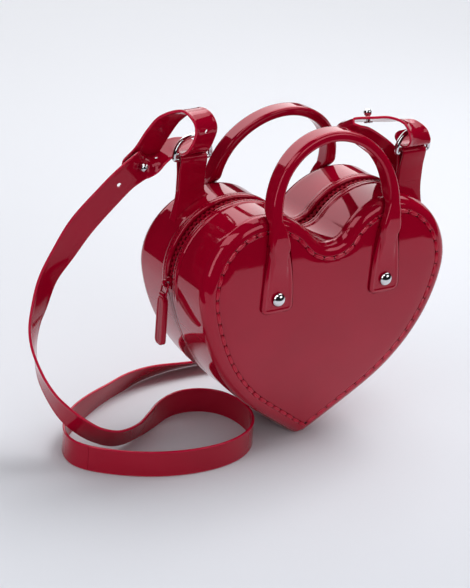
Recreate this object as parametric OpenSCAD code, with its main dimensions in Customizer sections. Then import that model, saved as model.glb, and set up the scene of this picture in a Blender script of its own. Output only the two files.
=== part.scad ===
// Heart-shaped moulded handbag with two arched handles, a curved zip and a long strap.
// Millimetres. The origin is the middle of the small flat that the tip stands on, +Z is up
// along the heart's axis and the front of the bag faces -Y.

/* [Heart body] */
// Width of the heart across its two lobes
heart_w = 210; // [195:1:226]
// Height of the heart from its tip to the tops of its lobes
heart_h = 186; // [174:1:200]
// Depth of the bag between its two faces at the fullest level
bag_d = 95; // [84:1:110]
// Radius of each lobe
lobe_r = 51; // [47:1:55]
// Radius of the hollow between two lobes that just touch; it widens as they part
valley_r = 16; // [13:1:22]
// Radius of the long side curve below each lobe
side_r = 150; // [140:1:170]
// Radius of the tip
tip_r = 9; // [7:0.5:12]
// Angle between the two straight flanks that meet at the tip
tip_angle = 105; // [100:1:108]
// How far each face falls back from its fullest level down to the tip
tip_fall = 18; // [8:1:22]
// How far each face falls back from its fullest level up to the top
top_fall = 8; // [3:1:11]
// Level at which the bag is fullest
full_z = 114; // [100:1:124]

/* [Moulded wall] */
// Thickness of the moulded wall
wall = 3; // [2:0.2:4]
// Radius of the rim between the side wall and the face
rim_r = 8; // [6:0.5:10]
// Distance from the rim to the middle of the stitch groove
groove_in = 10; // [9:0.5:13]
// Width of the stitch groove
groove_w = 3.6; // [2.4:0.2:4.6]
// Depth of the stitch groove
groove_deep = 1.2; // [0.6:0.1:1.6]

/* [Zip] */
// Width of the opening between the two zip lips
zip_gap = 7.2; // [6.6:0.2:9]
// Width of the raised lip beside the zip
lip_w = 6; // [4:0.5:9]
// Height of the lip above the side wall
lip_h = 0.8; // [0.4:0.1:1.4]
// Width of the strip that joins the two halves below the zip
joint_w = 3; // [2:0.2:4]
// Spacing of the teeth on one tape
tooth_pitch = 4; // [3.6:0.2:6]
// Half width of the meshed row of teeth
chain_half = 2.2; // [1.8:0.1:2.4]
// Height of a tooth
tooth_h = 1.8; // [1.4:0.1:1.9]
// Width of each tape
tape_w = 11; // [8:0.5:14]
// Thickness of the tape
tape_t = 0.8; // [0.5:0.1:1.2]
// Distance of the slider's middle from the lower left end of the zip
slider_up = 5.3; // [5:0.1:8]
// Length of the slider along the zip
slider_l = 8; // [6:0.5:8.5]

/* [Puller] */
// Radius of the wire of the pull link
link_wire_r = 0.7; // [0.5:0.05:0.8]
// Distance between the two cross bars of the pull link
link_l = 9; // [7:0.5:12]
// Distance between the two sides of the pull link, on their centre lines
link_w = 7.4; // [6.8:0.2:9]
// Length of the pull tab below the link
pull_l = 38; // [28:1:44]
// Width of the pull tab
pull_w = 10; // [8:0.5:12]
// Thickness of the pull tab
pull_t = 4; // [3:0.2:5]

/* [Handles] */
// Outer radius of each handle's arch
arch_r = 55; // [50:1:58]
// Height of the outside of the arch above the tops of the lobes
arch_up = 54; // [48:1:66]
// Thickness of the arch, measured towards its middle
arch_t = 7.5; // [6:0.5:9]
// Depth of the arch from front to back
arch_d = 14; // [10:0.5:16]
// Width of each flat leg on the face
leg_w = 26; // [20:1:29]
// Thickness of each leg on the face
leg_t = 3; // [2:0.2:4]
// Distance of the rivets below the tops of the lobes
rivet_down = 58; // [52:1:62]
// Distance of the rivets from the middle of the bag
rivet_x = 46.5; // [44:0.5:48]
// Length of the leg below the rivet
leg_foot = 10.5; // [8:0.5:12]
// How steeply the arch leans towards the other handle, in degrees
arch_lean = 13; // [8:1:15]

/* [Rivets] */
// Radius of the domed rivet cap
cap_r = 5; // [4:0.25:6]
// Height of the domed rivet cap
cap_h = 3.2; // [2:0.2:4]
// Radius of the rivet's post
post_r = 1.8; // [1.4:0.1:2.4]

/* [Rings and their tabs] */
// Distance of each ring outwards from the middle of its lobe
ring_out = 26; // [22:1:30]
// Distance of each ring's tab from the middle plane
ring_y = 21.5; // [19:0.5:26]
// Height of the ring's bar above the tops of the lobes
ring_up = 26; // [20:1:34]
// Inner width of the D-ring
ring_in = 25; // [24:0.5:28]
// Radius of the D-ring's wire
ring_wire_r = 1.7; // [1.4:0.1:1.9]
// Width of the tab's neck
neck_w = 21; // [17:0.5:22]
// Thickness of the tab's neck
neck_t = 5; // [4:0.25:6]
// Width of the tab's foot on the side wall
foot_w = 27; // [24:0.5:32]

/* [Strap] */
// Width of the strap
strap_w = 20; // [17:0.5:20.5]
// Thickness of the strap
strap_t = 2; // [1.6:0.1:2.4]
// Radius of the adjustment holes
hole_r = 1.6; // [1.3:0.1:1.8]
// Radius of the ball of each stud
ball_r = 3; // [2.6:0.1:3.6]

/* [Hidden] */

// Colours of the moulded body, the zip and the metal
cherry = [0.55, 0.02, 0.1];
zip_red = [0.42, 0.02, 0.08];
metal = [0.75, 0.75, 0.78];

// Small gaps: between seated pieces, round a wire in its tunnel, and past each end of a cut
seat = 0.1;
wire_play = 0.15;
past = 2;
// Faces round a small turned piece, and round a very small one
turn = 28;
tiny = 16;

// Steps of the outline: hollow, lobe, lower lobe, side curve and tip
hollow_n = 4;
lobe_n = 12;
low_n = 4;
side_shares = [0.08, 0.25, 0.44, 0.63, 0.82, 1];
side_n = len(side_shares);
tip_n = 2;
half_n = 2 * hollow_n + lobe_n + low_n + side_n + tip_n + 1;
ring_n = 2 * half_n + 1;
// Last step of the outline that carries the zip, and the step level with the hollow
zip_n = 2 * hollow_n + lobe_n + low_n;
level_n = 2 * hollow_n + lobe_n;
rim_n = 5;

// Middles of the arcs that make the heart's outline
tip_cut = tip_r / 18;
lobe_x = heart_w / 2 - lobe_r;
lobe_z = heart_h - lobe_r;
hollow_r = valley_r * pow(lobe_x / lobe_r, 2);
hollow_z = lobe_z + sqrt(pow(lobe_r + hollow_r, 2) - pow(lobe_x, 2));
hollow_sweep = asin(lobe_x / (lobe_r + hollow_r));
tip_mid_z = tip_r - tip_cut;
tip_least_r = tip_r / 9;
flank_a = tip_angle / 2;
flank_n = [cos(flank_a), -sin(flank_a)];
flank_t = [sin(flank_a), cos(flank_a)];
flank_gap = lobe_x * flank_n[0] + (lobe_z - tip_mid_z) * flank_n[1] - tip_r + side_r;
side_c = [lobe_x, lobe_z] - flank_gap * flank_n
    - sqrt(pow(side_r - lobe_r, 2) - pow(flank_gap, 2)) * flank_t;
side_a = atan2(lobe_z - side_c[1], lobe_x - side_c[0]);
flat_a = acos((tip_r - tip_cut) / tip_r);

// Places that keep their distance from the lobes when the heart changes
rivet_z = heart_h - rivet_down;
arch_top = heart_h + arch_up;
ring_x = lobe_x + ring_out;
ring_z = heart_h + ring_up;
slider_angle = 180 - side_a - slider_up / lobe_r * 180 / PI;

// A point at an angle on a circle
function on_circle(c, r, a) = [c[0] + r * cos(a), c[1] + r * sin(a)];

// The outline's point i at an inset from the outside, on the right half
function hollow_pt(e, i) =
    on_circle([0, hollow_z], hollow_r + e, -90 + hollow_sweep * i / hollow_n);
function low_start(e, i) =
    asin(min(1, max(-1, (hollow_pt(e, i)[1] - lobe_z) / (lobe_r - e))));
function lobe_pt(e, a) = on_circle([lobe_x, lobe_z], lobe_r - e, a);
function tip_pt(e, k) = let (r = max(tip_r - e, tip_least_r))
    on_circle([0, tip_mid_z + (tip_r - e - r) / flank_n[1]], r,
        -flank_a - (90 - flat_a - flank_a) * k / tip_n);
function half_pt(e, i) =
    i <= hollow_n ? hollow_pt(e, i)
    : i <= hollow_n + lobe_n ? lobe_pt(e, 90 + hollow_sweep
        - 2 * hollow_sweep * (i - hollow_n) / lobe_n)
    : i <= level_n ? lobe_pt(e, low_start(e, level_n - i))
    : i <= zip_n ? lobe_pt(e, low_start(e, 0)
        + (side_a - low_start(e, 0)) * (i - level_n) / low_n)
    : i <= zip_n + side_n ? on_circle(side_c, side_r - e,
        side_a + (-flank_a - side_a) * side_shares[i - zip_n - 1])
    : tip_pt(e, i - zip_n - side_n - 1);
// The whole outline: steps 0 to half_n on the right, then the same steps mirrored back
function mirror_step(i) = i == 0 ? 0 : ring_n - i;
function outline_pt(e, i) = i <= half_n ? half_pt(e, i)
    : let (p = half_pt(e, ring_n - i)) [-p[0], p[1]];
function half_step(i) = i <= half_n ? i : ring_n - i;

// Distance of the face from the middle plane at a level, and of the parting edge at a step
function face_y(z) = bag_d / 2 - tip_fall * pow(max(full_z - z, 0) / full_z, 2)
    - top_fall * pow(max(z - full_z, 0) / (heart_h - full_z), 2);
function on_zip(i) = half_step(i) <= zip_n ? 1 : 0;
function edge_y(i) = (on_zip(i) == 1 ? zip_gap : joint_w) / 2;

// Stations of the moulded wall from the inside of the face, round the parting edge, to the
// outside of the face: inset, share of the lip's height, 1 when the depth is measured from
// the face or 0 from the parting edge, and the depth from there
inner_rim_r = rim_r - wall;
edge_soft = wall / 5;
stations = concat(
    [for (k = [3:-1:0]) [wall + inner_rim_r * (1 - cos(30 * k)), 0, 1,
        -wall - inner_rim_r * (1 - sin(30 * k))]],
    [[wall, 0, 0, 0], [edge_soft, 0, 0, 0], [0, 1, 0, edge_soft], [0, 1, 0, lip_w],
        [0, 0, 0, lip_w + lip_h]],
    [for (k = [0:rim_n]) [rim_r * (1 - cos(90 * k / rim_n)), 0, 1,
        -rim_r * (1 - sin(90 * k / rim_n))]],
    [[groove_in - groove_w / 2, 0, 1, 0], [groove_in - groove_w / 4, 0, 1, -groove_deep],
        [groove_in + groove_w / 4, 0, 1, -groove_deep], [groove_in + groove_w / 2, 0, 1, 0]]);
function wall_pt(s, i) = let (p = outline_pt(s[0] - s[1] * lip_h * on_zip(i), i))
    [p[0], -(s[2] == 1 ? face_y(p[1]) : edge_y(i)) - s[3], p[1]];

// Triangles of a tube of rings, and of a cap that fills one heart-shaped ring in level strips
function tube_faces(rings, n) = [for (k = [0:rings - 2]) for (i = [0:n - 1])
    let (a = k * n + i, b = k * n + (i + 1) % n) each [[a, b, b + n], [a, b + n, a + n]]];
function flipped(faces) = [for (f = faces) [f[2], f[1], f[0]]];
function lobe_strip(j) = let (m = level_n - j)
    concat([[j, j + 1, m]], j + 1 < m - 1 ? [[j + 1, m - 1, m]] : []);
function mirrored(faces) = [for (f = faces)
    [mirror_step(f[2]), mirror_step(f[1]), mirror_step(f[0])]];
lobe_cap = [for (j = [0:hollow_n + lobe_n / 2 - 1]) each lobe_strip(j)];
heart_cap = concat(lobe_cap, mirrored(lobe_cap),
    [[0, level_n, level_n + 1], [0, level_n + 1, ring_n - level_n - 1],
        [0, ring_n - level_n - 1, ring_n - level_n]],
    [for (i = [level_n + 1:half_n - 1]) each [[i, i + 1, ring_n - i - 1],
        [i, ring_n - i - 1, ring_n - i]]]);
function shifted(faces, s) = [for (f = faces) [f[0] + s, f[1] + s, f[2] + s]];

// Half of the bag: a hollow heart with a rounded rim and a groove for the moulded stitching
module moulded_half() {
    rings = len(stations);
    pts = [for (s = stations) for (i = [0:ring_n - 1]) wall_pt(s, i)];
    faces = concat(flipped(heart_cap), tube_faces(rings, ring_n),
        shifted(heart_cap, (rings - 1) * ring_n));
    polyhedron(pts, faces, convexity = 8);
}

// Rivet places on one face, and the axis of each rivet square to the face
rivet_y = face_y(rivet_z);
module at_rivets() {
    for (side = [-1, 1])
        translate([side * rivet_x, -rivet_y, rivet_z]) rotate([90, 0, 0]) children();
}
module rivet_bores() {
    at_rivets() translate([0, 0, -wall - rim_r])
        cylinder(r = post_r + seat, h = wall + rim_r + leg_t + cap_h, $fn = turn);
}
module shell() {
    color(cherry) difference() {
        moulded_half();
        rivet_bores();
    }
}
module front_shell() shell();
module back_shell() rotate([0, 0, 180]) shell();

// A tube of equal sections given as lists of points, closed at both ends
function end_fan(s, n) = [for (i = [1:n - 2]) [s, s + i, s + i + 1]];
module tube(rings) {
    n = len(rings[0]);
    pts = [for (r = rings) each r];
    polyhedron(pts, concat(end_fan(0, n), flipped(tube_faces(len(rings), n)),
        flipped(end_fan((len(rings) - 1) * n, n))), convexity = 10);
}

// Joining strip between the two halves, from one end of the zip round the tip to the other
joint_steps = [for (i = [zip_n:ring_n - zip_n]) i];
function joint_corner(e, y, i) = let (p = outline_pt(e, i)) [p[0], y, p[1]];
module joining_strip() {
    color(cherry) tube([for (i = joint_steps) let (y = edge_y(i) - seat / 2)
        [joint_corner(0, y, i), joint_corner(0, -y, i), joint_corner(wall, -y, i),
            joint_corner(wall, y, i)]]);
}

// Zip tape under the lip of one half
tape_in = wall + seat;
tape_out_y = zip_gap / 2 + tape_w - chain_half;
tape_steps = [for (i = [-zip_n:zip_n]) i < 0 ? ring_n + i : i];
function tape_corner(e, y, i) = let (p = outline_pt(e, i)) [p[0], y, p[1]];
tape_mid_y = seat * 2;
module zip_tape() {
    color(zip_red) tube([for (i = tape_steps) [tape_corner(tape_in, -tape_mid_y, i),
        tape_corner(tape_in, -tape_out_y, i), tape_corner(tape_in + tape_t, -tape_out_y, i),
        tape_corner(tape_in + tape_t, -tape_mid_y, i)]]);
}
module front_zip_tape() zip_tape();
module back_zip_tape() rotate([0, 0, 180]) zip_tape();

// Places along the zip, measured from the hollow on the line that the teeth stand on
tooth_mid = wall - seat - tooth_h / 2;
hollow_len = (hollow_r + tooth_mid) * hollow_sweep * PI / 180;
zip_reach = hollow_len + (lobe_r - tooth_mid) * (90 + hollow_sweep - side_a) * PI / 180;
function zip_place(s) = s <= hollow_len
    ? let (a = s / (hollow_r + tooth_mid) * 180 / PI)
        [on_circle([0, hollow_z], hollow_r + tooth_mid, a - 90), a]
    : let (a = 90 + hollow_sweep - (s - hollow_len) / (lobe_r - tooth_mid) * 180 / PI)
        [lobe_pt(tooth_mid, a), a - 90];
module at_zip(s) {
    p = zip_place(abs(s));
    way = s < 0 ? -1 : 1;
    translate([way * p[0][0], 0, p[0][1]]) rotate([0, -way * p[1], 0]) children();
}
// A row of teeth: each reaches past the middle between two teeth of the other row
tooth_l = tooth_pitch * 0.45;
tooth_over = chain_half * 0.35;
stop_l = tooth_pitch * 0.3;
stop_gap = seat * 3;
rows_end = zip_reach - stop_l - stop_gap - tooth_pitch / 2;
module zip_teeth(shift, way) {
    n = floor(rows_end / tooth_pitch - shift);
    color(zip_red) for (j = [-n - 2 * shift:n])
        at_zip((j + shift) * tooth_pitch)
            translate([-tooth_l / 2, way < 0 ? -chain_half : -tooth_over, -tooth_h / 2])
                cube([tooth_l, chain_half + tooth_over, tooth_h]);
}
module front_zip_teeth() zip_teeth(0, -1);
module back_zip_teeth() zip_teeth(0.5, 1);
// Stops at the ends of the zip, one bar across both rows
module zip_stop(way) {
    color(zip_red) at_zip(way * (zip_reach - stop_l / 2 - seat))
        translate([-stop_l / 2, -chain_half, -tooth_h / 2])
            cube([stop_l, 2 * chain_half, tooth_h]);
}
module zip_start_stop() zip_stop(-1);
module zip_end_stop() zip_stop(1);

// Slider: a plate with two rails that run beside the teeth, under the lips' level
slider_w = zip_gap - 10 * seat;
rail_t = (slider_w / 2 - chain_half) * 0.7;
plate_t = 1.6;
plate_low = -lobe_r / 60;
rail_low = tape_in - 3 * seat;
module at_slider() {
    translate([-lobe_x, 0, lobe_z]) rotate([0, 90 - slider_angle, 0])
        translate([0, 0, lobe_r]) children();
}
// Outline of the slider's plate: a rounded nose ahead and a square tail behind
module slider_outline() {
    nose = slider_w / 2;
    union() {
        translate([slider_l / 2 - nose, 0]) circle(r = nose, $fn = turn);
        translate([-slider_l / 2, -nose]) square([slider_l - nose, 2 * nose]);
    }
}
module zip_slider() {
    color(cherry) at_slider() {
        translate([0, 0, plate_low]) linear_extrude(plate_t) slider_outline();
        for (side = [-1, 1])
            translate([-slider_l / 2, side * (slider_w / 2 - rail_t / 2) - rail_t / 2, -rail_low])
                cube([slider_l / 2 + slider_l / 4, rail_t, rail_low + plate_low]);
    }
}
// Bridge: a small staple on the slider, with the eye that the pull link hangs in
bridge_w = slider_w * 0.36;
bridge_r = link_wire_r * 4.2;
eye_r = link_wire_r * 1.8;
eye_h = plate_low + plate_t + seat + eye_r * 1.7;
module slider_bridge() {
    color(cherry) at_slider() rotate([90, 0, 0]) translate([0, 0, -bridge_w / 2])
        linear_extrude(bridge_w) difference() {
            union() {
                translate([0, eye_h]) circle(r = bridge_r, $fn = turn);
                translate([-bridge_r, plate_low + plate_t + seat])
                    square([2 * bridge_r, eye_h - plate_low - plate_t - seat]);
            }
            translate([0, eye_h]) circle(r = eye_r, $fn = turn);
            translate([-past * bridge_r, plate_low + plate_t + seat - past * bridge_r])
                square([2 * past * bridge_r, past * bridge_r]);
        }
}
// The eye's place in the bag's own directions, where the link hangs plumb
eye_at = [-lobe_x + (lobe_r + eye_h) * cos(slider_angle),
    lobe_z + (lobe_r + eye_h) * sin(slider_angle)];
module wire(a, b, r) {
    d = b - a;
    translate(a) rotate([0, acos(d[2] / norm(d)), atan2(d[1], d[0])])
        cylinder(r = r, h = norm(d), $fn = tiny);
}
// Pull link: a closed wire loop, its top bar in the bridge's eye and its lower bar in the tab
link_lean = 12;
link_foot = [eye_at[0] - link_l * sin(link_lean), eye_at[1] - link_l * cos(link_lean)];
module pull_link() {
    corners = [for (q = [[-1, eye_at], [1, eye_at], [1, link_foot], [-1, link_foot]])
        [q[1][0], q[0] * link_w / 2, q[1][1]]];
    color(cherry) union() for (i = [0:3]) {
        wire(corners[i], corners[(i + 1) % 4], link_wire_r);
        translate(corners[i]) sphere(r = link_wire_r * 1.1, $fn = tiny);
    }
}
// Pull tab: a barrel round the link's lower bar, and a long tongue with a rounded end
barrel_r = pull_t * 0.5;
barrel_w = link_w - 2 * link_wire_r - 6 * seat;
tongue_drop = link_wire_r + 4 * seat;
module tongue_outline() {
    end_r = pull_w * 0.42;
    hull() {
        for (side = [-1, 1]) translate([side * (pull_w / 2 - end_r), -pull_l + end_r])
            circle(r = end_r, $fn = turn);
        translate([-pull_w * 0.4, -tongue_drop - pull_t]) square([pull_w * 0.8, pull_t]);
    }
}
module pull_tab() {
    color(cherry) translate([link_foot[0], 0, link_foot[1]]) difference() {
        union() {
            rotate([90, 0, 0]) translate([0, 0, -barrel_w / 2])
                cylinder(r = barrel_r, h = barrel_w, $fn = turn);
            translate([-barrel_r * 0.8, -barrel_w / 2, -tongue_drop - pull_t])
                cube([barrel_r * 1.6, barrel_w, tongue_drop + pull_t]);
            rotate([90, 0, 90]) translate([0, 0, -pull_t / 2])
                linear_extrude(pull_t) tongue_outline();
        }
        rotate([90, 0, 0]) translate([0, 0, -pull_w])
            cylinder(r = link_wire_r + wire_play, h = 2 * pull_w, $fn = turn);
    }
}

// Handle: flat legs on the face that draw in and thicken into one arch over the bag
rim_top_z = lobe_z + lobe_r - rim_r;
arch_mid_z = arch_top - arch_r;
leg_low = rivet_z - leg_foot;
leg_corner = leg_w * 0.2;
swell_z = rivet_z + cap_r * 2;
neck_d = arch_d * 0.58;
neck_x_w = arch_t * 1.25;
leg_out_x = rivet_x + leg_w / 2;
function blend(t) = let (k = max(0, min(1, t))) k * k * (3 - 2 * k);
// Share of the way from the flat leg to the round arch, and the leg's width and depth there
function risen(z) = blend((z - swell_z) / (arch_mid_z - swell_z));
function leg_full_w(z) = leg_w
    + (neck_x_w - leg_w) * pow((z - leg_low) / (arch_mid_z - leg_low), 1.8);
function leg_half_w(z) = leg_full_w(z) / 2 - (z < leg_low + leg_corner
    ? leg_corner - sqrt(max(0, pow(leg_corner, 2) - pow(leg_low + leg_corner - z, 2))) : 0);
function leg_x(z) = leg_out_x - leg_full_w(z) / 2
    - (leg_out_x - arch_r) * blend((z - leg_low) / (arch_mid_z - leg_low));
function leg_d(z) = z <= rim_top_z
    ? leg_t + (neck_d - leg_t) * blend((z - swell_z) / (rim_top_z - swell_z))
    : neck_d + (arch_d - neck_d) * blend((z - rim_top_z - rim_r * 0.3) / (rim_r * 1.2));
// Outer side of the leg on the face, then of the arch that leans in over the bag
function lean_y(z) = face_y(rim_top_z) + seat + neck_d - (z - rim_top_z) * tan(arch_lean);
function out_y(z) = z <= rim_top_z ? face_y(z) + seat + leg_d(z) : lean_y(z);
leg_zs = concat([for (k = [0:3]) leg_low + leg_corner * (1 - cos(30 * k))],
    [for (k = [1:3]) leg_low + leg_corner + (swell_z - leg_low - leg_corner) * k / 3],
    [for (k = [1:5]) swell_z + (rim_top_z - swell_z) * k / 5],
    [for (k = [1:3]) rim_top_z + (arch_mid_z - rim_top_z) * k / 3]);
// Round-cornered and flat sections: shares of the half width and half depth
round_shares = [[1, 0.45], [0.8, 0.85], [0.4, 1], [-0.4, 1], [-0.8, 0.85], [-1, 0.45],
    [-1, -0.45], [-0.8, -0.85], [-0.4, -1], [0.4, -1], [0.8, -0.85], [1, -0.45]];
flat_shares = [[1, 0.3], [0.96, 1], [0.6, 1], [-0.6, 1], [-0.96, 1], [-1, 0.3],
    [-1, -0.3], [-0.96, -1], [-0.6, -1], [0.6, -1], [0.96, -1], [1, -0.3]];
section_n = len(round_shares);
function section(c, across, deep, hw, hd, t) = [for (i = [0:section_n - 1])
    let (q = flat_shares[i] * (1 - t) + round_shares[i] * t)
        c + across * q[0] * hw + deep * q[1] * hd];
function leg_section(z, way) = section([way * leg_x(z), leg_d(z) / 2 - out_y(z), z],
    [1, 0, 0], [0, 1, 0], leg_half_w(z), leg_d(z) / 2, risen(z));
// Sections of the arch at an angle; the depth goes on growing a little past the leg
arch_n = 16;
function arch_section(a) = let (rise = sin(a), t = neck_x_w
        + (arch_t - neck_x_w) * blend(min(a, 180 - a) / 40), r = arch_r - t / 2,
        z = arch_mid_z + r * rise)
    section([r * cos(a), leg_d(z) / 2 - lean_y(z), z],
        [cos(a), tan(arch_lean) * rise, rise], [0, 1, 0], t / 2, leg_d(z) / 2, 1);
module handle() {
    color(cherry) difference() {
        tube(concat([for (z = leg_zs) leg_section(z, 1)],
            [for (k = [1:arch_n - 1]) arch_section(180 * k / arch_n)],
            [for (i = [len(leg_zs) - 1:-1:0]) [for (p = leg_section(leg_zs[i], 1))
                [-p[0], p[1], p[2]]]]));
        rivet_bores();
    }
}
module front_handle() handle();
module back_handle() rotate([0, 0, 180]) handle();

// Rivets: a domed cap outside, a post through leg and wall, and a flat washer inside
dome_r = (pow(cap_r, 2) + pow(cap_h, 2)) / (2 * cap_h);
beside_rivet = [face_y(rivet_z - cap_r), face_y(rivet_z + cap_r)];
cap_out = max(beside_rivet) - rivet_y + leg_t + 2 * seat;
back_out = min(beside_rivet) - rivet_y - wall - seat;
washer_t = cap_h / 2;
module rivet_caps() {
    color(metal) at_rivets() translate([0, 0, cap_out]) intersection() {
        translate([0, 0, cap_h - dome_r]) sphere(r = dome_r, $fn = turn);
        cylinder(r = cap_r, h = cap_h, $fn = turn);
    }
}
module front_rivet_caps() rivet_caps();
module back_rivet_caps() rotate([0, 0, 180]) rivet_caps();
module rivet_posts() {
    color(metal) for (a = [0, 180]) rotate([0, 0, a]) at_rivets()
        translate([0, 0, back_out - washer_t])
            cylinder(r = post_r, h = cap_out - back_out + washer_t, $fn = turn);
}
module rivet_backs() {
    color(metal) for (a = [0, 180]) rotate([0, 0, a]) at_rivets()
        translate([0, 0, back_out - washer_t]) difference() {
            cylinder(r = cap_r, h = washer_t, $fn = turn);
            translate([0, 0, -washer_t])
                cylinder(r = post_r + seat / 2, h = 3 * washer_t, $fn = turn);
        }
}

// Ring tab: a strip folded round the ring's bar, flared at its foot, with a pad on the wall
fold_r = ring_wire_r + wire_play + neck_t * 0.4;
flare_z = lobe_z + lobe_r + ring_wire_r * 2;
pad_t = neck_t / 4;
pad_d = neck_t * 1.5;
function lobe_top(x) = lobe_z + sqrt(pow(lobe_r, 2) - pow(x - lobe_x, 2));
foot_in = ring_x - foot_w / 2;
foot_out = ring_x + foot_w / 2;
module strip_outline() {
    difference() {
        polygon([[ring_x - neck_w / 2, ring_z], [ring_x - neck_w / 2, flare_z],
            [foot_in, lobe_top(foot_in)], [foot_in, lobe_z], [foot_out, lobe_z],
            [foot_out, lobe_top(foot_out)], [ring_x + neck_w / 2, flare_z],
            [ring_x + neck_w / 2, ring_z]]);
        translate([lobe_x, lobe_z]) circle(r = lobe_r + seat, $fn = 3 * turn);
    }
}
module pad_outline() {
    difference() {
        intersection() {
            translate([lobe_x, lobe_z]) circle(r = lobe_r + seat + pad_t, $fn = 3 * turn);
            translate([foot_in, lobe_z]) square([foot_w, ring_z - lobe_z]);
        }
        translate([lobe_x, lobe_z]) circle(r = lobe_r + seat, $fn = 3 * turn);
    }
}
module ring_tab() {
    color(cherry) translate([0, -ring_y, 0]) difference() {
        union() {
            rotate([90, 0, 0]) translate([0, 0, -neck_t / 2])
                linear_extrude(neck_t) strip_outline();
            rotate([90, 0, 0]) translate([0, 0, -pad_d / 2])
                linear_extrude(pad_d) pad_outline();
            translate([ring_x - neck_w / 2, 0, ring_z]) rotate([0, 90, 0])
                cylinder(r = fold_r, h = neck_w, $fn = turn);
        }
        translate([ring_x - neck_w, 0, ring_z]) rotate([0, 90, 0])
            cylinder(r = ring_wire_r + wire_play, h = 2 * neck_w, $fn = turn);
    }
}
module right_ring_tab() ring_tab();
module left_ring_tab() rotate([0, 0, 180]) ring_tab();

// D-ring: a straight bar in the tab's fold and a bow that stands over it
bow_rise = ring_in * 0.66;
bar_half = ring_in / 2 + ring_wire_r;
bow_r = (pow(bar_half, 2) + pow(bow_rise, 2)) / (2 * bow_rise);
module d_ring() {
    color(metal) translate([ring_x, -ring_y, ring_z]) union() {
        difference() {
            translate([0, 0, bow_rise - bow_r]) rotate([90, 0, 0])
                rotate_extrude($fn = 2 * turn) translate([bow_r, 0])
                    circle(r = ring_wire_r, $fn = turn);
            translate([-2 * bow_r, -2 * ring_wire_r, -2 * bow_r])
                cube([4 * bow_r, 4 * ring_wire_r, 2 * bow_r]);
        }
        for (side = [-1, 1]) translate([side * bar_half, 0, 0])
            sphere(r = ring_wire_r * 1.08, $fn = turn);
        translate([-bar_half, 0, 0]) rotate([0, 90, 0])
            cylinder(r = ring_wire_r, h = 2 * bar_half, $fn = turn);
    }
}
module right_ring() d_ring();
module left_ring() rotate([0, 0, 180]) d_ring();

// The strap's course, as shares of the heart's width: across, deep, up, and the direction
// across the strap. The two end lists count from the middle of each ring's bar. In the run the
// heights are shares of the height under the bars, and 0 means that the strap rests on the
// floor.
left_end_shares = [
    [-0.194, 0.088, -0.055, 0.77, 0.05, -0.63], [-0.138, 0.079, 0.004, 0.77, 0.1, -0.6],
    [-0.105, 0.05, 0.085, 0.8, 0.15, -0.5], [-0.086, 0.012, 0.143, 0.88, 0.25, -0.35],
    [-0.055, -0.052, 0.188, 0.95, 0.3, -0.1], [-0.034, -0.096, 0.174, 0.96, 0.28, 0],
    [-0.022, -0.108, 0.13, 0.97, 0.2, 0], [-0.021, -0.083, 0.074, 0.98, 0.18, 0],
    [-0.017, -0.045, 0.038, 0.99, 0.12, 0], [-0.005, 0, 0.024, 0.93, 0.37, 0],
    [-0.014, 0.04, 0.034, 0.7, 0.65, 0.15], [-0.048, 0.067, 0.018, 0.1, 0.95, 0.2],
    [-0.107, 0.053, -0.005, -0.15, 0.95, 0.15], [-0.15, 0.041, -0.015, -0.5, 0.36, 0.65],
    [-0.176, 0.034, -0.021, -0.6, 0.12, 0.76]];
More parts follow.
